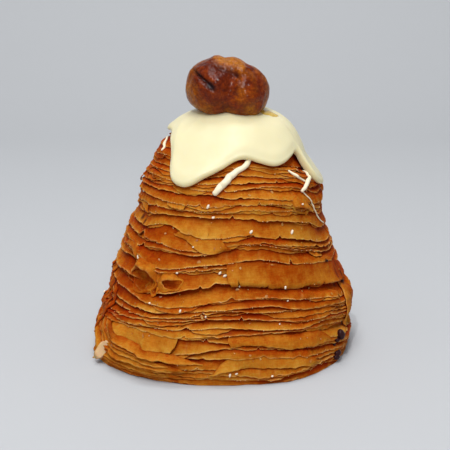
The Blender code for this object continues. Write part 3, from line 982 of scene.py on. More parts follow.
def lay_sheet(surface, seed, path, width, lift, free, cracks, slant):
    """Lays a loose sheet: its azimuths, distances, heights and nearness to its free edge."""
    azimuth, s, along = along_path(path)
    t = np.linspace(0, 1, len(along))
    radius = radius_at_distance(s)
    du, ds = np.gradient(np.radians(azimuth)) * radius, np.gradient(s)
    size = np.hypot(du, ds)
    way_u, way_s = du / size, ds / size
    back = 0.24 * noise_along(along, 5, seed) + 0.16 * noise_along(along, 1.6, seed + 1)
    back += 0.12 * noise_along(along, 0.7, seed + 2)
    for where, depth, half in cracks:
        back += depth * bump(along, where * along[-1], half)
    taper = sheet_taper(t, free)
    wide = np.maximum(width * taper, 0.5)
    inward = back[:, None] + np.array(SHEET_ROWS)[None] * wide[:, None]
    inward = np.hstack([inward, back[:, None] + 0.5, back[:, None] + 0.2, back[:, None]])
    inward = np.maximum.accumulate(inward[:, ::-1], axis=1)[:, ::-1]
    x = np.clip(1 - (inward - back[:, None]) / (wide[:, None] + 1e-6), 0, 1)
    slide = torn_ends(along, x, inward, free, slant, seed + 5)
    sheet_s = s[:, None] - way_u[:, None] * inward + way_s[:, None] * slide
    u = way_s[:, None] * inward + way_u[:, None] * slide
    sheet_az = azimuth[:, None] + np.degrees(u / radius[:, None])
    raised = lift * taper * (1 + 0.35 * noise_along(along, 6, seed + 3))
    d = drape(surface, sheet_az, sheet_s) + CLEARANCE + raised[:, None] * x**1.6
    d += 0.10 * noise_along(along, 2.6, seed + 4)[:, None] * x
    for end in (0, -1):
        d[end] -= 0.5 * LEAF_THICK
    surface.cover(sheet_az, sheet_s, d, finer=8, wider=3)
    return sheet_az, sheet_s, d, x


def torn_ends(along, x, inward, free, slant, seed):
    """How far points slide along a sheet so that its free ends are slanted, rounded and torn."""
    ragged_end = 0.30 * noise_along(inward, 1.3, seed) + 0.14 * noise_along(inward, 0.5, seed + 1)
    bow = slant * x**1.5 + 0.5 * rise(0.75, 1.0, x) + ragged_end
    total = along[-1]
    near_start, near_end = (np.clip(1 - v / 5, 0, 1)[:, None] for v in (along, total - along))
    return float(free[0]) * bow * near_start - float(free[1]) * bow * near_end


def add_sheet(batch, sheet, tone):
    """Turns a laid sheet into mesh points and colour fields."""
    azimuth, s, d, x = sheet
    azimuth = np.hstack([azimuth, azimuth[:, -1:], azimuth[:, -3:-2], azimuth[:, -4:-3]])
    x = np.hstack([x, x[:, -3:]])
    s, d = with_underside(s, d)
    d[0, -3:], d[-1, -3:] = d[0, -4] - 0.02, d[-1, -4] - 0.02
    place = on_wall(azimuth, s, d)
    place[..., 2] = np.maximum(place[..., 2], 0.06)
    # Painted highlight along the free edge, painted shade on the underside and the hidden side,
    # and a tone that rises to the free edge as painted shade under the leaf above.
    edge = np.zeros(s.shape)
    edge[:, 6:10] = [0.15, 0.5, 1.0, 0.8]
    deep = np.zeros(s.shape)
    deep[:, 9:] = 0.9
    deep[:, 0] = 0.5
    fields = colour_fields(azimuth, s, edge, deep, tone + x - 0.45)
    rows, columns = place.shape[:2]
    batch.add(place, grid_faces(rows, columns)[:, ::-1], **fields)


def plies(over):
    """Thin plies that show below the free edge of the leaf above the one they lie on."""
    rng = np.random.default_rng(1300 + over)
    made = []
    for _ in range(LOW_PLIES if over > LOW_PLIES_OVER else PLIES):
        span = rng.uniform(12, 60)
        azimuth = rng.uniform(BACK - 360, BACK - span) + span * np.linspace(0, 1, 7)
        shown = rng.uniform(0.2, 1.0) + 1.0 * (rng.random() < 0.25)
        arch = np.sin(np.pi * np.linspace(0, 1, 7)) ** 0.6
        drop = -0.8 + (shown + 0.8) * arch + 0.12 * rng.normal(size=7)
        height = edge_heights(over - 1, azimuth) - drop
        width, lift, tone = rng.uniform(1.8, 2.8), rng.uniform(0.0, 0.22), rng.uniform(-0.4, 0.4)
        made.append(loose_sheet(over, list(zip(azimuth, height)), width, lift, tone))
    return made


def random_sheets(over):
    """Smaller loose sheets round the sides and back."""
    rng = np.random.default_rng(70 + over)
    made = []
    for _ in range(2 if over % 2 else 1):
        azimuth = rng.uniform(-8, 186)
        span = rng.uniform(9, 30)
        height = float(regular_height(over + 0.2)) + rng.uniform(-0.8, 0.8)
        if not 4 < height < 62:
            continue
        bow = rng.uniform(-1.3, 1.3)
        path = [(azimuth, height), (azimuth + span / 3, height + bow)]
        path += [(azimuth + span * 2 / 3, height + 0.6 * bow), (azimuth + span, height - 0.4)]
        free = (bool(rng.random() < 0.5), bool(rng.random() < 0.5))
        width, lift, tone = rng.uniform(2.6, 5.5), rng.uniform(0.2, 0.8), rng.uniform(-0.3, 0.6)
        made.append(loose_sheet(over, path, width, lift, tone, free))
    return made


def gather():
    """The fine plies that gather at the lower left, from the lowest up."""
    outer, inner = np.array(GATHER_OUTER, float), np.array(GATHER_INNER, float)
    made = []
    for k in range(GATHER_COUNT):
        t = (k + 0.25 * math.sin(2.6 * k)) / (GATHER_COUNT - 1)
        path = outer + (inner - outer) * t
        path[:, 1] += 0.25 * np.sin(1.7 * k + np.arange(len(path)))
        path[-2:, 0] += np.array([3.0, 8.0]) * (0.5 + 0.9 * math.sin(2.1 * k))
        lift, tone = 0.35 + 0.2 * (k % 2), 0.3 * (k % 3) - 0.1
        made.append(loose_sheet(GATHER_OVER, path, 2.4, lift, tone))
    return made


def upright_folds():
    """Folds that run down the wall at the far left, over the ends of the leaves."""
    made = []
    for k, (top_at, foot_at, top, foot) in enumerate(UPRIGHT_FOLDS):
        t = np.linspace(0, 1, 6)
        azimuth = top_at + (foot_at - top_at) * t + 1.4 * np.sin(5 * t + 1.3 * k)
        height = top + (foot - top) * t
        lift, tone = 0.25 + 0.15 * (k % 2), 0.2 * (k % 3)
        made.append(loose_sheet(UPRIGHT_OVER, list(zip(azimuth, height)), 2.2, lift, tone))
    return made


FOLD_WIDE = 3.0  # how far the fold round a pocket runs out over the wall
# A pocket's section from its middle out: place (1 is the rim), depth, height of the fold, how far
# the fold overhangs.
POCKET_SECTION = [
    (0.02, 1.00, 0.00, 0.00),
    (0.25, 0.96, 0.00, 0.00),
    (0.48, 0.84, 0.00, 0.00),
    (0.68, 0.66, 0.00, 0.00),
    (0.84, 0.44, 0.00, 0.02),
    (0.95, 0.24, 0.04, 0.12),
    (1.00, 0.08, 0.25, 0.12),
    (1.01, 0.00, 0.55, -0.10),
    (1.02, 0.00, 0.82, -0.30),
    (1.05, 0.00, 0.97, -0.30),
    (1.11, 0.00, 1.00, -0.12),
    (1.22, 0.00, 0.90, 0.00),
    (1.38, 0.00, 0.70, 0.00),
    (1.56, 0.00, 0.44, 0.00),
    (1.74, 0.00, 0.18, 0.00),
    (1.90, 0.00, -0.12, 0.00),
    (2.00, 0.00, -0.60, 0.00),
]


def pocket_shape(k, turn, q, overhang):
    """Places across and up from a pocket's middle, and how high its fold stands all round."""
    _, _, half_width, half_height, _, tilt, high, side = POCKETS[k]
    ring = np.stack([1.3 * np.cos(turn), 1.3 * np.sin(turn), 0 * turn + 2.9 * k], -1)
    outline = 1 + 0.26 * noise_at(ring, 0.9, 601)
    towards = np.cos(turn - math.radians(side))
    upper = rise(-0.3, 0.8, towards + 0.25 * noise_at(ring, 0.8, 602))
    reach = FOLD_WIDE * (0.25 + 0.75 * upper) * (1 + 0.2 * noise_at(ring, 0.9, 603))
    crest = high * (0.12 + 0.88 * upper) * (1 + 0.25 * noise_at(ring, 0.5, 604))
    rim_u, rim_v = half_width * np.cos(turn) * outline, half_height * np.sin(turn) * outline
    out_u, out_v = np.cos(turn) / half_width, np.sin(turn) / half_height
    size = np.hypot(out_u, out_v)
    away = reach[:, None] * np.maximum(q - 1, 0) + upper[:, None] * high * overhang
    u = rim_u[:, None] * np.minimum(q, 1) + (out_u / size)[:, None] * away
    v = rim_v[:, None] * np.minimum(q, 1) + (out_v / size)[:, None] * away
    return *turned(u, v, tilt), upper[:, None], crest[:, None]


def pocket_ground(surface, azimuth, s, q):
    """The smoothed wall round a pocket, carried level across the hole."""
    ground = surface.at(azimuth, s)
    for _ in range(12):
        ground = (np.roll(ground, 1, 0) + 2 * ground + np.roll(ground, -1, 0)) / 4
    rim = ground[:, -5:-1].mean(1)[:, None]
    inside = rim.mean() + (rim - rim.mean()) * np.clip(q, 0, 1) ** 2
    return inside + (ground - inside) * rise(1.3, 1.9, q)


def lay_pockets(surface, batch):
    """A smooth hollow for each pocket, with a soft fold that stands over one side of it."""
    q, depth, fold, overhang = (column[None] for column in np.array(POCKET_SECTION).T)
    turn = circle(96)
    for k, (at, height, _, _, deep, *_) in enumerate(POCKETS):
        u, v, upper, crest = pocket_shape(k, turn, q, overhang)
        azimuth = at + np.degrees(u / float(radius_at_distance(distance_at_height(height))))
        s = distance_at_height(height + 0.97 * v)
        d = pocket_ground(surface, azimuth, s, q) + 0.15 - 0.75 * deep * depth + crest * fold
        place = on_wall(azimuth, s, d)
        place += 0.14 * noise_at(place, 2.4, 605)[..., None] * [1, 1, 0]
        # Painted highlight on the fold's rim; painted shade in the hollow, stronger on the side
        # the fold stands over; and a tone lighter on the fold and darker down the hollow, as
        # painted light and shade.
        edge = 0.55 * upper * bump(q, 1.04, 0.07)
        shade = 0.45 * depth * (0.3 + 0.7 * upper) + 0.5 * bump(q, 0.97, 0.06)
        tone = 0.5 * bump(q, 1.25, 0.35) - 0.35 * depth + 0.25 * noise_at(place, 2.0, 606)
        fields = colour_fields(azimuth, s, edge, 0 * edge, tone)
        fields["deep"] = shade
        fields = {key: np.broadcast_to(value, s.shape).T for key, value in fields.items()}
        points = place.transpose(1, 0, 2)
        batch.add(points, grid_faces(*s.shape[::-1], closed=True)[:, ::-1], **fields)


def make_leaves(material):
    """The spiral strip, laid from the base up so that each leaf covers the one below."""
    count = len(FRONT_EDGES)
    azimuth = BACK - 360 + 360 * np.arange(COLUMNS) / COLUMNS
    turns = np.arange(count)[:, None] + np.arange(COLUMNS)[None] / COLUMNS
    along = turns * TURN_LENGTH
    smooth = np.array([distance_at_height(edge_heights(k, azimuth)) for k in range(count)])
    torn = ragged(along, 100)
    torn[FOOT_FROM:] *= 2.0
    crease = creases(along, 150)
    for leaf, at, depth, half in NOTCHES:
        across = np.radians(angle_from(azimuth, at)) * radius_at_distance(smooth[leaf])
        torn[leaf] -= depth * bump(across, 0, half)
    upper = np.vstack([smooth[:1] - 2.5, smooth[:-1]])
    surface = Surface()
    upper_sheets, lower_sheets = Batch(), Batch()
    outer = []
    for turn in range(count - 1, -1, -1):
        edge = smooth[turn]
        length = np.maximum(edge + torn[turn] - upper[turn], 0.2)
        lines = (azimuth, upper[turn], edge, length, along[turn], crease[turn])
        outer.append(main_leaf(turn, *lines, surface))
        lay_loose(surface, lower_sheets if turn > LOWER_FROM else upper_sheets, turn)
    lay_pockets(surface, upper_sheets)
    s = np.array([leaf[0] for leaf in outer[::-1]])
    d = np.array([leaf[1] for leaf in outer[::-1]])
    pieces = build_strip(azimuth, along, upper, crease, s, d, material)
    pieces.append(upper_sheets.make("upper_sheets", material, "pastry", "pastry"))
    pieces.append(lower_sheets.make("lower_sheets", material, "pastry", "pastry"))
    return pieces, (azimuth, s[..., -1], d[..., -1], surface)


def lay_loose(surface, batch, over):
    """Lays the loose sheets and plies that lie on the given leaf."""
    if not 3 < over < len(FRONT_EDGES) - 1:
        return
    sheets = [*plies(over), *LOOSE_SHEETS, *random_sheets(over), *gather(), *upright_folds()]
    for k, (lies_on, tone, shape) in enumerate(sheets):
        if lies_on == over:
            add_sheet(batch, lay_sheet(surface, 400 + 7 * k + over, *shape), tone)


def build_strip(azimuth, along, upper, crease, s, d, material):
    """Turns the laid leaves into four pieces of one continuous strip."""
    s, d = with_underside(s, d)
    edge, deep = shade_rows(s, upper)
    edge = np.maximum(edge, 0.2 * crease[..., None] * (1 - deep))
    tone = 0.55 * noise_along(along, 34, 301) + 0.30 * noise_along(along, 9, 302)
    tone = tone[..., None] + lighter_to_edge(s, upper)
    place = on_wall(azimuth[None, :, None], s, d)
    floor = 0.05 + 0.01 * np.arange(place.shape[2])
    place[..., 2] = np.maximum(place[..., 2], floor)
    fields = colour_fields(azimuth[None, :, None], s, edge, deep, tone)
    turns, columns, depth = s.shape
    place = place.reshape(turns * columns, depth, 3)
    fields = {key: value.reshape(-1, depth) for key, value in fields.items()}
    pieces = []
    for k in range(STRIP_PIECES):
        first, last = turns * k // STRIP_PIECES, turns * (k + 1) // STRIP_PIECES
        a, b = first * columns, min(last * columns + 1, len(place))
        own = {key: value[a:b] for key, value in fields.items()}
        faces, bake = grid_faces(b - a, depth)[:, ::-1], strip_uv(a, b, depth, last - first)
        name = f"leaves_{k + 1}"
        pieces.append(
            make_piece(name, place[a:b], faces, material, "pastry", "pastry", bake, **own)
        )
    return pieces


def make_core(material):
    """The body of dough behind the leaves, dark with the full painted shade of the gaps."""
    s = np.linspace(2, BASE_AT, 70)
    azimuth = np.linspace(0, 360, 120, endpoint=False)
    ring = on_wall(azimuth[None], s[:, None], -CORE_DEPTH)
    ring[..., 2] = np.maximum(ring[..., 2], 0.3)
    zeros = np.zeros(ring.shape[:2])
    faces = grid_faces(len(s), len(azimuth), closed=True)
    # Painted shade over all of it.
    fields = dict(edge=zeros, deep=zeros + 1, tone=zeros, scorch=zeros, ember=zeros, pale=zeros)
    return make_piece("core", ring, faces, material, "pastry", "pastry", **fields)


# ---------------------------------------------------------------- the icing

ICING_GAP = 0.42  # mm between the dough and the icing
ICING_THICK = 2.3
ICING_THINNER = (-4, 30, 58.0, 8.0, 0.9)  # azimuth and its reach, height and its reach, mm less
# The icing's lower edge: azimuth, height.
ICING_EDGE = [
    (-180, 72.8), (-168, 73.1), (-158, 72.6), (-151, 70.8), (-145, 68.8), (-139.5, 65.6),
    (-135, 62.2), (-130, 59.9), (-124, 58.7), (-117, 58.7), (-108, 61.2), (-98, 63.8),
    (-88, 66.3), (-79, 66.7), (-68, 65.3), (-58, 64.2), (-49, 64.7), (-39, 66.2), (-32, 67.0),
    (-28, 65.4), (-26, 61.6), (-23, 58.2), (-17, 56.2), (-8, 55.3), (1, 55.6), (9, 58.4),
    (17, 63.2), (26, 67.2), (38, 68.2), (52, 65.4), (64, 61.0), (76, 59.8), (88, 63.4),
    (102, 67.6), (118, 64.0), (132, 63.0), (144, 68.4), (156, 73.0), (168, 74.0),
]


def icing_edge_height(azimuth):
    """The height of the icing's edge, smooth all the way round."""
    at, heights = np.array(ICING_EDGE).T
    count = len(at)
    azimuth = angle_from(azimuth, 0)
    i = np.searchsorted(at, azimuth, side="right") - 1
    ends = np.append(at[1:], at[0] + 360)
    t = (azimuth - at[i]) / (ends[i] - at[i])
    return cubic(*(heights[(i + k) % count] for k in (-1, 0, 1, 2)), t)


def make_icing(material):
    """A cap of icing with drips, its edge rounded and swollen."""
    columns, rows, lip_rows = 400, 56, 14
    azimuth = np.linspace(-180, 180, columns, endpoint=False)
    height = icing_edge_height(azimuth)
    edge = distance_at_height(height)[None]
    drip = rise(66.5, 59, height)[None]
    t = np.linspace(0.02, 1, rows)[:, None]
    lip_length = 1.25 + 0.35 * drip
    reach = edge - lip_length
    outer_s = reach * t
    to_edge = reach - outer_s
    at, turn_reach, middle_height, tall, less = ICING_THINNER
    right = bump(angle_from(azimuth, at), 0, turn_reach)[None]
    swollen = (0.25 + 0.55 * drip) * bump(to_edge, 1.2, 3.0) * (1 - 0.7 * right)
    thinner = less * right * bump(height_at_distance(outer_s), middle_height, tall)
    sag = -0.35 * rise(4, 10, to_edge) * rise(24, 14, to_edge) * drip
    thick = ICING_THICK + swollen + sag - thinner - 0.45 * (1 - drip) * bump(to_edge, 0, 2.0)
    outer_d = ICING_GAP + thick
    lip = np.radians(np.linspace(10, 180, lip_rows))[:, None]
    last = thick[-1:]
    middle = ICING_GAP + last / 2
    lip_s = reach + lip_length * np.sin(lip)
    lip_d = middle + last / 2 * np.cos(lip)
    inner_s = reach * np.linspace(1, 0.5, 6)[:, None][1:]
    inner_d = ICING_GAP + 0 * inner_s
    s = np.vstack([outer_s, lip_s, inner_s])
    d = np.vstack([outer_d, lip_d, inner_d])
    place = on_wall(azimuth[None], s, d)
    uneven = 0.30 * noise_at(place, 11, 31) + 0.08 * noise_at(place, 4, 32)
    place = on_wall(azimuth[None], s, d + uneven * rise(0.5, 2.5, d))
    thin = np.zeros(s.shape)
    outside = slice(rows + lip_rows)
    thin[outside] = 1 - rise(-0.6, 1.6, edge - s[outside])
    return make_piece(
        "icing_cap", place, grid_faces(len(s), columns, closed=True), material, "icing", "icing",
        thin=thin,
    )


# ---------------------------------------------------------------- the chestnut

# The chestnut's box as (low, high) along x, y and z, and a place well inside it.
CHESTNUT_BOX = (-11.52, 15.68, -15.19, 8.00, 80.12, 98.19)
CHESTNUT_HEART = (3.0, -4.2, 87.2)
# Its two lobes: centre and radii.
CHESTNUT_LOBES = [
    ((-2.2, -3.6, 88.3), (9.9, 11.6, 9.9)),
    ((7.0, -4.5, 86.6), (8.8, 11.2, 9.3)),
]


def near_line(x, z, start, end):
    """How far off a line in the upright plane places lie, and how far along it, from 0 to 1."""
    way = np.array(end) - start
    length = np.linalg.norm(way)
    way = way / length
    t = ((x - start[0]) * way[0] + (z - start[1]) * way[1]) / length
    across = (x - start[0]) * way[1] - (z - start[1]) * way[0]
    return across, t


def lobes_reach(direction, heart):
    """Distance from the heart to the skin of the two joined lobes."""
    reach = []
    for centre, radii in CHESTNUT_LOBES:
        start, step = (heart - centre) / radii, direction / radii
        a, b, c = (step**2).sum(-1), (step * start).sum(-1), (start**2).sum() - 1
        reach.append((-b + np.sqrt(b * b - a * c)) / a)
    return (reach[0] ** 16 + reach[1] ** 16) ** (1 / 16)


def chestnut_marks(x, y, z):
    """The crevice, the crest, the fold and the furrow under it, from 0 to 1 over the skin."""
    front = rise(1.0, -5.0, y)
    across, t = near_line(x, z, (-9.4, 94.2), (-2.4, 88.6))
    crevice = front * bump(across, 0, 0.55 + 0.6 * rise(0, 1, t))
    crevice = crevice * rise(-0.12, 0.12, t) * rise(1.2, 0.85, t)
    crest = bump(x, 4.4, 2.4) * bump(y, -5.0, 5.5) * rise(90, 94, z)
    across, t = near_line(x, z, (-2.2, 98.8), (6.8, 94.6))
    top_front = rise(2.5, -2.5, y)
    fold = top_front * bump(across, 0, 1.5) * rise(-0.2, 0.05, t) * rise(1.12, 0.95, t)
    under_fold = front * bump(across, 2.4, 0.6) * rise(0.0, 0.2, t) * rise(1.1, 0.9, t)
    return crevice, crest, fold, under_fold


def make_chestnut(material):
    """Two joined lobes with a wrinkled, creased skin, set where the chestnut's box is."""
    low, high = (np.array(c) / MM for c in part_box("chestnut"))
    nominal = np.array(CHESTNUT_BOX).reshape(3, 2)
    shift = (low + high) / 2 - nominal.mean(1)
    columns, rows = 300, 170
    around = circle(columns)[None]
    up = np.linspace(math.pi / 2 - 0.01, -math.pi / 2 + 0.01, rows)[:, None]
    direction = np.stack(
        [np.cos(up) * np.cos(around), np.cos(up) * np.sin(around), np.sin(up) + 0 * around], -1
    )
    heart = np.array(CHESTNUT_HEART)
    distance = lobes_reach(direction, heart)
    place = heart + direction * distance[..., None]
    x, y, z = place[..., 0], place[..., 1], place[..., 2]
    crevice, crest, fold, under_fold = chestnut_marks(x, y, z)
    wrinkle = 0.45 * noise_at(place, 4.6, 41) + 0.12 * noise_at(place, 1.9, 42)
    ridges = 1 - 2 * np.abs(noise_at(place * [1.0, 1.0, 0.7], 2.4, 43))
    wrinkle = (wrinkle + 0.12 * ridges + 0.02 * noise_at(place, 0.9, 44)) * (1 - 0.5 * crest)
    distance = distance + wrinkle - 0.25 + 2.0 * crest
    distance = distance - 1.2 * crevice + 0.5 * fold - 0.8 * under_fold
    place = heart + direction * distance[..., None] + shift
    place[..., 2] = np.maximum(place[..., 2], low[2] - 0.2)
    # Amber: a painted glow of light through the rims, where the skin faces away from the front,
    # plus the right lobe's and the fold's own amber.
    side = np.clip(1 + 0.95 * direction[..., 1] - 0.32 * direction[..., 2], 0, 1)
    patchy = noise_at(place, 3.4, 45)
    amber = rise(0.30, 0.85, side + 0.20 * patchy)
    amber = np.maximum(amber * 0.85 + 0.34 * rise(3, 8, x) * rise(-0.6, 0.6, patchy), fold)
    # Painted shade: darker where the skin faces up.
    upward = rise(0.1, 0.9, direction[..., 2]) * (1 - fold) * (1 - 0.7 * rise(1, 6, x))
    blotch = 0.35 * rise(0.5, 0.9, noise_at(place, 2.8, 46)) * (1 - amber)
    # Dark: painted shade in the crevice and under the fold, and dark blotches of the skin's own.
    dark = np.clip(0.95 * crevice + 0.35 * under_fold + blotch, 0, 1)
    return make_piece(
        "candied_chestnut", place, grid_faces(rows, columns, closed=True), material,
        "chestnut", "chestnut", amber=amber, dark=dark, upward=upward,
    )


# ---------------------------------------------------------------- threads, grains, flakes, crumbs

# Threads of icing: (azimuth, height, radius in mm) along each.
THREADS = [
    [(-76.6, 68.4, 0.8), (-78, 66.4, 0.85), (-82.5, 64.9, 0.85), (-87.0, 63.8, 0.95),
     (-90.5, 62.6, 1.1), (-93.5, 61.2, 1.15), (-96, 60.0, 1.2), (-98.4, 58.6, 0.95),
     (-100.6, 57.2, 0.75)],
    [(-46.5, 63.2, 0.30), (-43, 61.7, 0.46), (-40, 60.6, 0.40), (-37, 59.8, 0.32),
     (-34.5, 59.0, 0.36)],
    [(-25.0, 61.4, 0.34), (-26.5, 60.1, 0.55), (-31.0, 59.2, 0.70), (-34.5, 58.3, 0.66),
     (-38, 57.2, 0.62), (-40.0, 56.0, 0.46)],
    [(-38, 56.0, 0.22), (-36, 54.6, 0.19), (-33.5, 53.2, 0.18), (-30.5, 51.3, 0.22),
     (-28, 49.3, 0.25), (-24, 47.2, 0.24), (-19.5, 44.7, 0.22), (-13, 42.6, 0.20)],
    [(-180, 71.0, 0.3), (-170, 70.5, 0.42), (-162, 69.5, 0.48), (-158.5, 67.8, 0.38)],
    [(98, 66.8, 0.5), (101, 64.0, 0.45), (99, 61.0, 0.55), (103, 58.4, 0.4)],
    [(38, 67.0, 0.3), (41, 63.8, 0.28), (39, 60.0, 0.24)],
]
# Grains of icing: azimuth, height, half-length, lean in degrees from upright.
GRAINS = [
    (-102.7, 53.8, 0.80, 30), (-99.1, 50.4, 0.50, 60), (-51.5, 44.4, 0.75, 25),
    (-77.0, 45.8, 0.70, 50), (-142.6, 34.9, 0.80, -20), (-114.8, 33.2, 0.45, 70),
    (-93.6, 33.6, 0.60, 40), (-91.2, 32.6, 0.80, 60), (-110.8, 22.2, 0.65, 20),
    (-99.6, 20.9, 0.40, 0), (-61.1, 28.0, 0.55, 5), (-127.7, 22.4, 0.45, 80),
    (-87.0, 2.9, 0.60, 10), (-84.4, 3.2, 0.45, 70), (-43.8, 52.7, 0.40, 80),
    (-60.6, 23.8, 0.35, 40), (-84.0, 29.0, 0.35, 0), (-70.0, 1.8, 0.40, 60),
    (-108.0, 41.4, 0.30, 50), (-66.0, 17.2, 0.25, 30),
]
MORE_GRAINS = 30  # scattered over the right side and the back
# Dark caramel drops: azimuth, height, radius.
DROPS = [
    (-32.3, 8.8, 1.7), (-33.6, 7.1, 1.1), (-34.3, 5.4, 0.6), (-32.6, 2.3, 1.4),
    (-33.6, 0.9, 1.2), (-13.0, 22.4, 0.55), (-27.0, 32.0, 0.45), (64.0, 12.0, 0.7),
    (151.0, 26.0, 0.6),
]


def level_way(azimuth, up=0.0):
    """The way an azimuth points, tipped up a little."""
    angle = math.radians(azimuth)
    return np.array([math.cos(angle), math.sin(angle), up])


def axes_on(out):
    """A surface's unit way out, and the level and the upright way along it."""
    out = out / np.linalg.norm(out)
    across = np.cross([0, 0, 1.0], out)
    across /= np.linalg.norm(across)
    return out, across, np.cross(out, across)


def tree_of(pieces):
    """One search tree over the pieces' faces, in millimetres."""
    points, faces, count = [], [], 0
    for piece in pieces:
        mesh = piece.data
        co = np.empty(len(mesh.vertices) * 3, np.float32)
        mesh.vertices.foreach_get("co", co)
        index = np.empty(len(mesh.loops), np.int32)
        mesh.loops.foreach_get("vertex_index", index)
        points.append(co.reshape(-1, 3) / MM)
        faces.append(index.reshape(-1, 4) + count)
        count += len(mesh.vertices)
    return BVHTree.FromPolygons(np.concatenate(points).tolist(), np.concatenate(faces).tolist())


def land(tree, azimuth, height):
    """Where a level line towards the axis first meets a surface, and the direction out of it."""
    outward = Vector(level_way(azimuth))
    middle = Vector((AXIS[0] + float(lean(height)), AXIS[1], height + FOOT))
    spot, normal, _, _ = tree.ray_cast(middle + outward * 90, -outward)
    if spot is None:
        spot, normal = middle + outward * 20, outward
    if normal.dot(outward) < 0:
        normal = -normal
    return np.array(spot), np.array((normal * 0.5 + outward).normalized())


def tube(centres, radii, sides=12, seed=0):
    """A knobbly closed tube round a line of places."""
    centres = np.asarray(centres, float)
    way = np.gradient(centres, axis=0)
    way /= np.linalg.norm(way, axis=1)[:, None]
    side = np.cross(way, [0.3, 0.2, 1.0])
    side /= np.linalg.norm(side, axis=1)[:, None]
    other = np.cross(way, side)
    turn = circle(sides)[None, :, None]
    ring = side[:, None] * np.cos(turn) + other[:, None] * np.sin(turn)
    radii = np.asarray(radii, float)[:, None, None]
    points = centres[:, None] + ring * radii
    uneven = 1 + 0.12 * noise_at(points, 1.9, 700 + seed)[..., None]
    return centres[:, None] + ring * radii * uneven


def make_threads(material, tree):
    """Thin threads of icing that lie on the dough."""
    batch = Batch()
    for k, thread in enumerate(THREADS):
        line = through(thread, 14 * len(thread))
        spots_on = [land(tree, a, h) for a, h, _ in line]
        centres = np.array([spot for spot, _ in spots_on])
        centres += [out * max(r * 0.75, 0.2) for (_, out), r in zip(spots_on, line[:, 2])]
        for _ in range(16):
            centres[1:-1] = 0.25 * centres[:-2] + 0.5 * centres[1:-1] + 0.25 * centres[2:]
        ends = np.minimum(np.arange(len(line)), np.arange(len(line))[::-1])
        radii = line[:, 2] * np.sqrt(np.clip((ends + 0.15) / 4, 0.02, 1))
        batch.add_closed(tube(centres, radii, 12, k), thin=0.0)
    return batch.make("icing_threads", material, "icing", "icing")


def blob(centre, out, size, lean_degrees, seed, sides=10, rings=7):
    """A small lumpy grain lying on a surface, longer along its lean from upright."""
    out, across, upright = axes_on(out)
    long, _ = turned(upright, across, -lean_degrees)
    short = np.cross(out, long)
    polar = np.linspace(0.12, math.pi - 0.12, rings)[:, None, None]
    turn = circle(sides)[None, :, None]
    unit = long * np.cos(polar) * size[0] + np.sin(polar) * (
        short * np.cos(turn) * size[1] + out * np.sin(turn) * size[2]
    )
    lump = 1 + 0.22 * noise_at(unit + seed * 3.7, max(size) * 0.9, 710)[..., None]
    return centre + unit * lump


def make_grains(material, tree):
    """Grains of icing that cling to the wall."""
    batch = Batch()
    rng = np.random.default_rng(81)
    grains = list(GRAINS)
    for _ in range(MORE_GRAINS):
        azimuth, height = rng.uniform(-12, 196), rng.uniform(3, 60)
        grains.append((azimuth, height, rng.uniform(0.25, 0.7), rng.uniform(-80, 80)))
    for k, (azimuth, height, half, tilt) in enumerate(grains):
        spot, out = land(tree, azimuth, height)
        wide = min(half, 0.22 + 0.22 * half)
        points = blob(spot + out * wide * 0.7, out, (half, wide, wide), tilt, k)
        batch.add_closed(points, thin=0.0)
    return batch.make("icing_grains", material, "icing")


def make_drops(material, tree):
    """Dark drops of caramel on the wall."""
    batch = Batch()
    for k, (azimuth, height, radius) in enumerate(DROPS):
        spot, out = land(tree, azimuth, height)
        size = (radius, radius * 0.85, radius * 0.8)
        batch.add_closed(blob(spot + out * radius * 0.35, out, size, 20 * k, k, 18, 13))
    return batch.make("caramel_drops", material, "pastry")


CHIP_GRID = 7  # points along each side of a scrap
CHIP_THICK = 0.09
CHIP_RIM = 0.97  # the size of a scrap's back to that of its front


def chip(centre, out, size, spin, curl, seed):
    """A thin curled scrap of leaf with a torn outline."""
    out, across, upright = axes_on(out)
    u, v = turned(across, upright, -spin)
    steps = np.linspace(-1, 1, CHIP_GRID)
    x, y = np.meshgrid(steps, steps, indexing="ij")
    uneven = noise_at(np.stack([x + seed, y, 0 * x], -1), 0.7, 720)
    shrink = 1 - 0.22 * (x * y) ** 2 + 0.16 * uneven
    x, y = x * shrink, y * shrink
    front, back = (
        centre + (u * x[..., None] * size[0] + v * y[..., None] * size[1])
        + out * (curl * (x**2 - 0.4 * y) * size[0] + thick)[..., None]
        for thick in (CHIP_THICK, 0.0)
    )
    return np.stack([front, centre + (back - centre) * CHIP_RIM])


def chip_faces():
    """The faces of a scrap's front, back and edge."""
    n = CHIP_GRID
    top = grid_faces(n, n)
    bottom = grid_faces(n, n)[:, ::-1] + n * n
    loop = [(0, j) for j in range(n)] + [(i, n - 1) for i in range(1, n)]
    loop += [(n - 1, j) for j in range(n - 2, -1, -1)] + [(i, 0) for i in range(n - 2, 0, -1)]
    index = np.array([i * n + j for i, j in loop])
    after = np.roll(index, -1)
    side = np.stack([index, after, after + n * n, index + n * n], -1)
    return np.concatenate([top, bottom, side])


# Larger scraps: azimuth, height, azimuth it faces, mm off the wall, half-width, half-height,
# spin in degrees, curl, paleness.
BIG_SCRAPS = [
    (-146.2, 4.4, -108, 1.0, 3.9, 1.9, 52, 0.18, 0.75),
    (-149.0, 0.9, -118, 0.6, 2.6, 0.6, 12, 0.15, 0.45),
]
SCRAPS = 230  # small ones tried over the wall; those on the icing are left out
CRUMBS = 5200  # tried along the free edges; those that would be hidden are left out


def scrap_fields(edge, tone, pale):
    """A scrap's colour fields, the same all over it."""
    return dict(edge=edge, deep=0.0, tone=tone, scorch=0.0, ember=0.0, pale=pale)


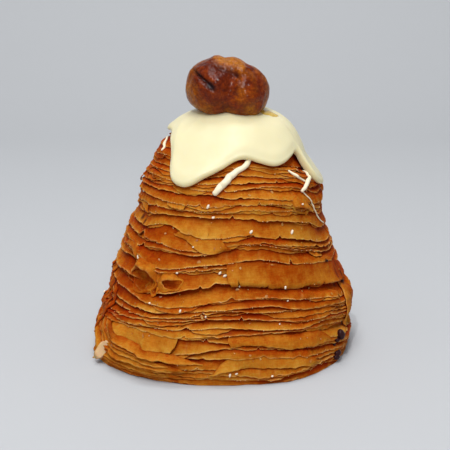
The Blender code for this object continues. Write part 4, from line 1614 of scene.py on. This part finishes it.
def make_flakes(material, tree):
    """Scraps of leaf that cling to the wall."""
    batch = Batch()
    rng = np.random.default_rng(91)
    faces = chip_faces()
    for k in range(SCRAPS):
        azimuth, height = rng.uniform(-180, 180), 62 * rng.random() ** 1.1 + 1.0
        half = 0.22 + 0.55 * rng.random() ** 3
        if height > icing_edge_height(azimuth) - 1.5:
            continue
        spot, out = land(tree, azimuth, height)
        size = (half, half * rng.uniform(0.4, 0.9))
        spin, curl = rng.uniform(0, 180), rng.uniform(0.0, 0.3)
        points = chip(spot + out * 0.08, out, size, spin, curl, k)
        edge, tone, pale = rng.uniform(0.0, 0.9), rng.uniform(-0.8, 1.0), rng.uniform(0.0, 0.35)
        batch.add(points, faces, **scrap_fields(edge, tone, pale))
    for azimuth, height, facing, off, wide, tall, spin, curl, pale in BIG_SCRAPS:
        spot, _ = land(tree, azimuth, height)
        centre = spot + level_way(azimuth) * off
        points = chip(centre, level_way(facing, 0.1), (wide, tall), spin, curl, 3)
        batch.add(points, faces, **scrap_fields(0.1, 0.6, pale))
    return batch.make("loose_flakes", material, "pastry")


def make_lint(material, edges):
    """Tiny pale crumbs along the leaves' free edges."""
    azimuth, s, d, surface = edges
    rng = np.random.default_rng(95)
    batch = Batch()
    turn, column = rng.integers(4, len(s) - 1, CRUMBS), rng.integers(0, COLUMNS, CRUMBS)
    bare = surface.at(azimuth[column], s[turn, column]) < d[turn, column] + 0.3
    keep = bare & (noise_along(turn * TURN_LENGTH + column * MM_PER_COLUMN, 6, 96) > 0.0)
    for k, (i, j) in enumerate(zip(turn[keep], column[keep])):
        spot = on_wall(azimuth[j], s[i, j] + rng.uniform(-0.15, 0.12), d[i, j] + 0.05)
        if spot[2] > 0.4:
            half = rng.uniform(0.07, 0.18)
            size, out = (half, half * 0.7, half * 0.6), level_way(azimuth[j], 0.3)
            batch.add_closed(blob(spot, out, size, rng.uniform(-90, 90), k % 40, 5, 4))
    return batch.make("edge_crumbs", material, "pastry")


def make_syrup(material, icing):
    """A little syrup run out at the chestnut's right foot."""
    tree = tree_of([icing])
    low, high = (np.array(c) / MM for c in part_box("chestnut"))
    centre = Vector((high[0] - 0.2, low[1] + 9.6, 110))
    rings, sides = 9, 40
    rows = []
    for k in range(rings):
        t = k / (rings - 1)
        row = []
        for a in circle(sides):
            reach = 1 + 0.2 * math.sin(2 * a + 0.6) + 0.1 * math.sin(5 * a)
            away = Vector((3.0 * math.cos(a), 3.2 * math.sin(a), 0)) * max(t, 0.02) * reach
            spot, normal, _, _ = tree.ray_cast(centre + away, Vector((0, 0, -1)))
            row.append(np.array(spot) + np.array(normal) * (0.38 * (1 - t**3) - 0.05))
        rows.append(row)
    faces = grid_faces(rings, sides, closed=True)
    return make_piece("syrup", np.array(rows), faces, material, "chestnut")


# ---------------------------------------------------------------- studio

FLOOR_COLOUR, ROOM_COLOUR = (0.490, 0.503, 0.522, 1), (0.97, 0.985, 1.0, 1)
ROOM_LIGHT = 0.40
CAMERA_AT, CAMERA_AIM = (0, -0.3426, 0.1308), (0.0009, 0, 0.0410)
SENSOR, LENS = 36, 81.5  # mm
SWEEP_SIZE, SWEEP_BACK, SWEEP_BEND = 2.4, 0.405, 0.4  # metres: half width, bend's start, radius
SWEEP_STEPS = 12


def make_studio():
    """A plain pale floor that bends up behind the pastry."""
    floor = bpy.data.materials.new("studio_floor")
    floor.use_nodes = True
    shader = floor.node_tree.nodes["Principled BSDF"]
    shader.inputs["Base Color"].default_value = FLOOR_COLOUR
    shader.inputs["Roughness"].default_value = 0.95
    shader.inputs["Specular IOR Level"].default_value = 0.05
    profile = [(-SWEEP_SIZE, 0.0), (SWEEP_BACK, 0.0)]
    for k in range(1, SWEEP_STEPS + 1):
        a = math.pi / 2 * k / SWEEP_STEPS
        up = SWEEP_BEND - SWEEP_BEND * math.cos(a)
        profile.append((SWEEP_BACK + SWEEP_BEND * math.sin(a), up))
    profile.append((SWEEP_BACK + SWEEP_BEND, SWEEP_SIZE))
    points = [(x, y, z) for y, z in profile for x in (-SWEEP_SIZE, SWEEP_SIZE)]
    quads = [(2 * k, 2 * k + 1, 2 * k + 3, 2 * k + 2) for k in range(len(profile) - 1)]
    mesh = bpy.data.meshes.new("studio_sweep")
    mesh.from_pydata(points, [], quads)
    mesh.materials.append(floor)
    mesh.polygons.foreach_set("use_smooth", np.ones(len(quads), bool))
    sweep = bpy.data.objects.new("studio_sweep", mesh)
    bpy.context.scene.collection.objects.link(sweep)


def add_light(name, place, aim, size, power):
    """A round soft light of so many metres across and watts."""
    data = bpy.data.lights.new(name, "AREA")
    data.shape, data.size, data.energy = "DISK", size, power
    lamp = bpy.data.objects.new(name, data)
    lamp.location = place
    lamp.rotation_euler = (Vector(aim) - Vector(place)).to_track_quat("-Z", "Y").to_euler()
    bpy.context.scene.collection.objects.link(lamp)


def make_camera():
    """The camera, in front of the pastry and looking a little down on it."""
    data = bpy.data.cameras.new("camera")
    data.sensor_width, data.lens = SENSOR, LENS
    camera = bpy.data.objects.new("camera", data)
    camera.location = CAMERA_AT
    way = Vector(CAMERA_AIM) - camera.location
    camera.rotation_euler = way.to_track_quat("-Z", "Y").to_euler()
    bpy.context.scene.collection.objects.link(camera)
    bpy.context.scene.camera = camera


def light_the_scene():
    """Soft room light, a large key light, two small ones for glints and one for the backdrop."""
    aim = (0, 0, 0.04)
    add_light("key", (-0.09, -0.42, 0.92), aim, 0.42, 4.2)
    add_light("front", (0.12, -0.95, 0.38), aim, 0.05, 0.9)
    add_light("glint", (-0.12, -0.62, 0.66), aim, 0.04, 2.3)
    add_light("backdrop", (0, 0.15, 1.1), (0, 0.75, 0.05), 0.6, 4.9)
    world = bpy.data.worlds.new("soft_room")
    world.use_nodes = True
    background = world.node_tree.nodes["Background"]
    background.inputs["Color"].default_value = ROOM_COLOUR
    background.inputs["Strength"].default_value = ROOM_LIGHT
    bpy.context.scene.world = world
    bpy.context.scene.view_settings.view_transform = "Standard"


def main():
    """The camera, every piece, the studio and the lights."""
    make_camera()
    dough, icing = pastry_material(), icing_material()
    pieces, edges = make_leaves(dough)
    make_core(dough)
    cap = make_icing(icing)
    make_chestnut(chestnut_material())
    tree = tree_of([*pieces, cap])
    thread = plain_material(
        "icing_thread", (0.84, 0.74, 0.50), (0.88, 0.80, 0.60), 1.5, 0.42, Specular_IOR_Level=0.3
    )
    make_threads(thread, tree_of(pieces))
    grain = plain_material(
        "icing_grain", (0.80, 0.66, 0.46), (0.90, 0.82, 0.70), 0.5, 0.5, Specular_IOR_Level=0.3
    )
    make_grains(grain, tree)
    caramel = plain_material(
        "caramel", (0.014, 0.003, 0.005), (0.040, 0.008, 0.008), 0.8, 0.25, Specular_IOR_Level=0.15
    )
    make_drops(caramel, tree)
    make_flakes(dough, tree)
    crumb = plain_material(
        "pale_crumb", (0.66, 0.36, 0.12), (0.82, 0.56, 0.30), 0.4, 0.6, Specular_IOR_Level=0.1
    )
    make_lint(crumb, edges)
    syrup = plain_material(
        "syrup", (0.50, 0.30, 0.03), (0.66, 0.46, 0.09), 1.2, 0.12, Specular_IOR_Level=0.5
    )
    make_syrup(syrup, cap)
    make_studio()
    light_the_scene()


main()
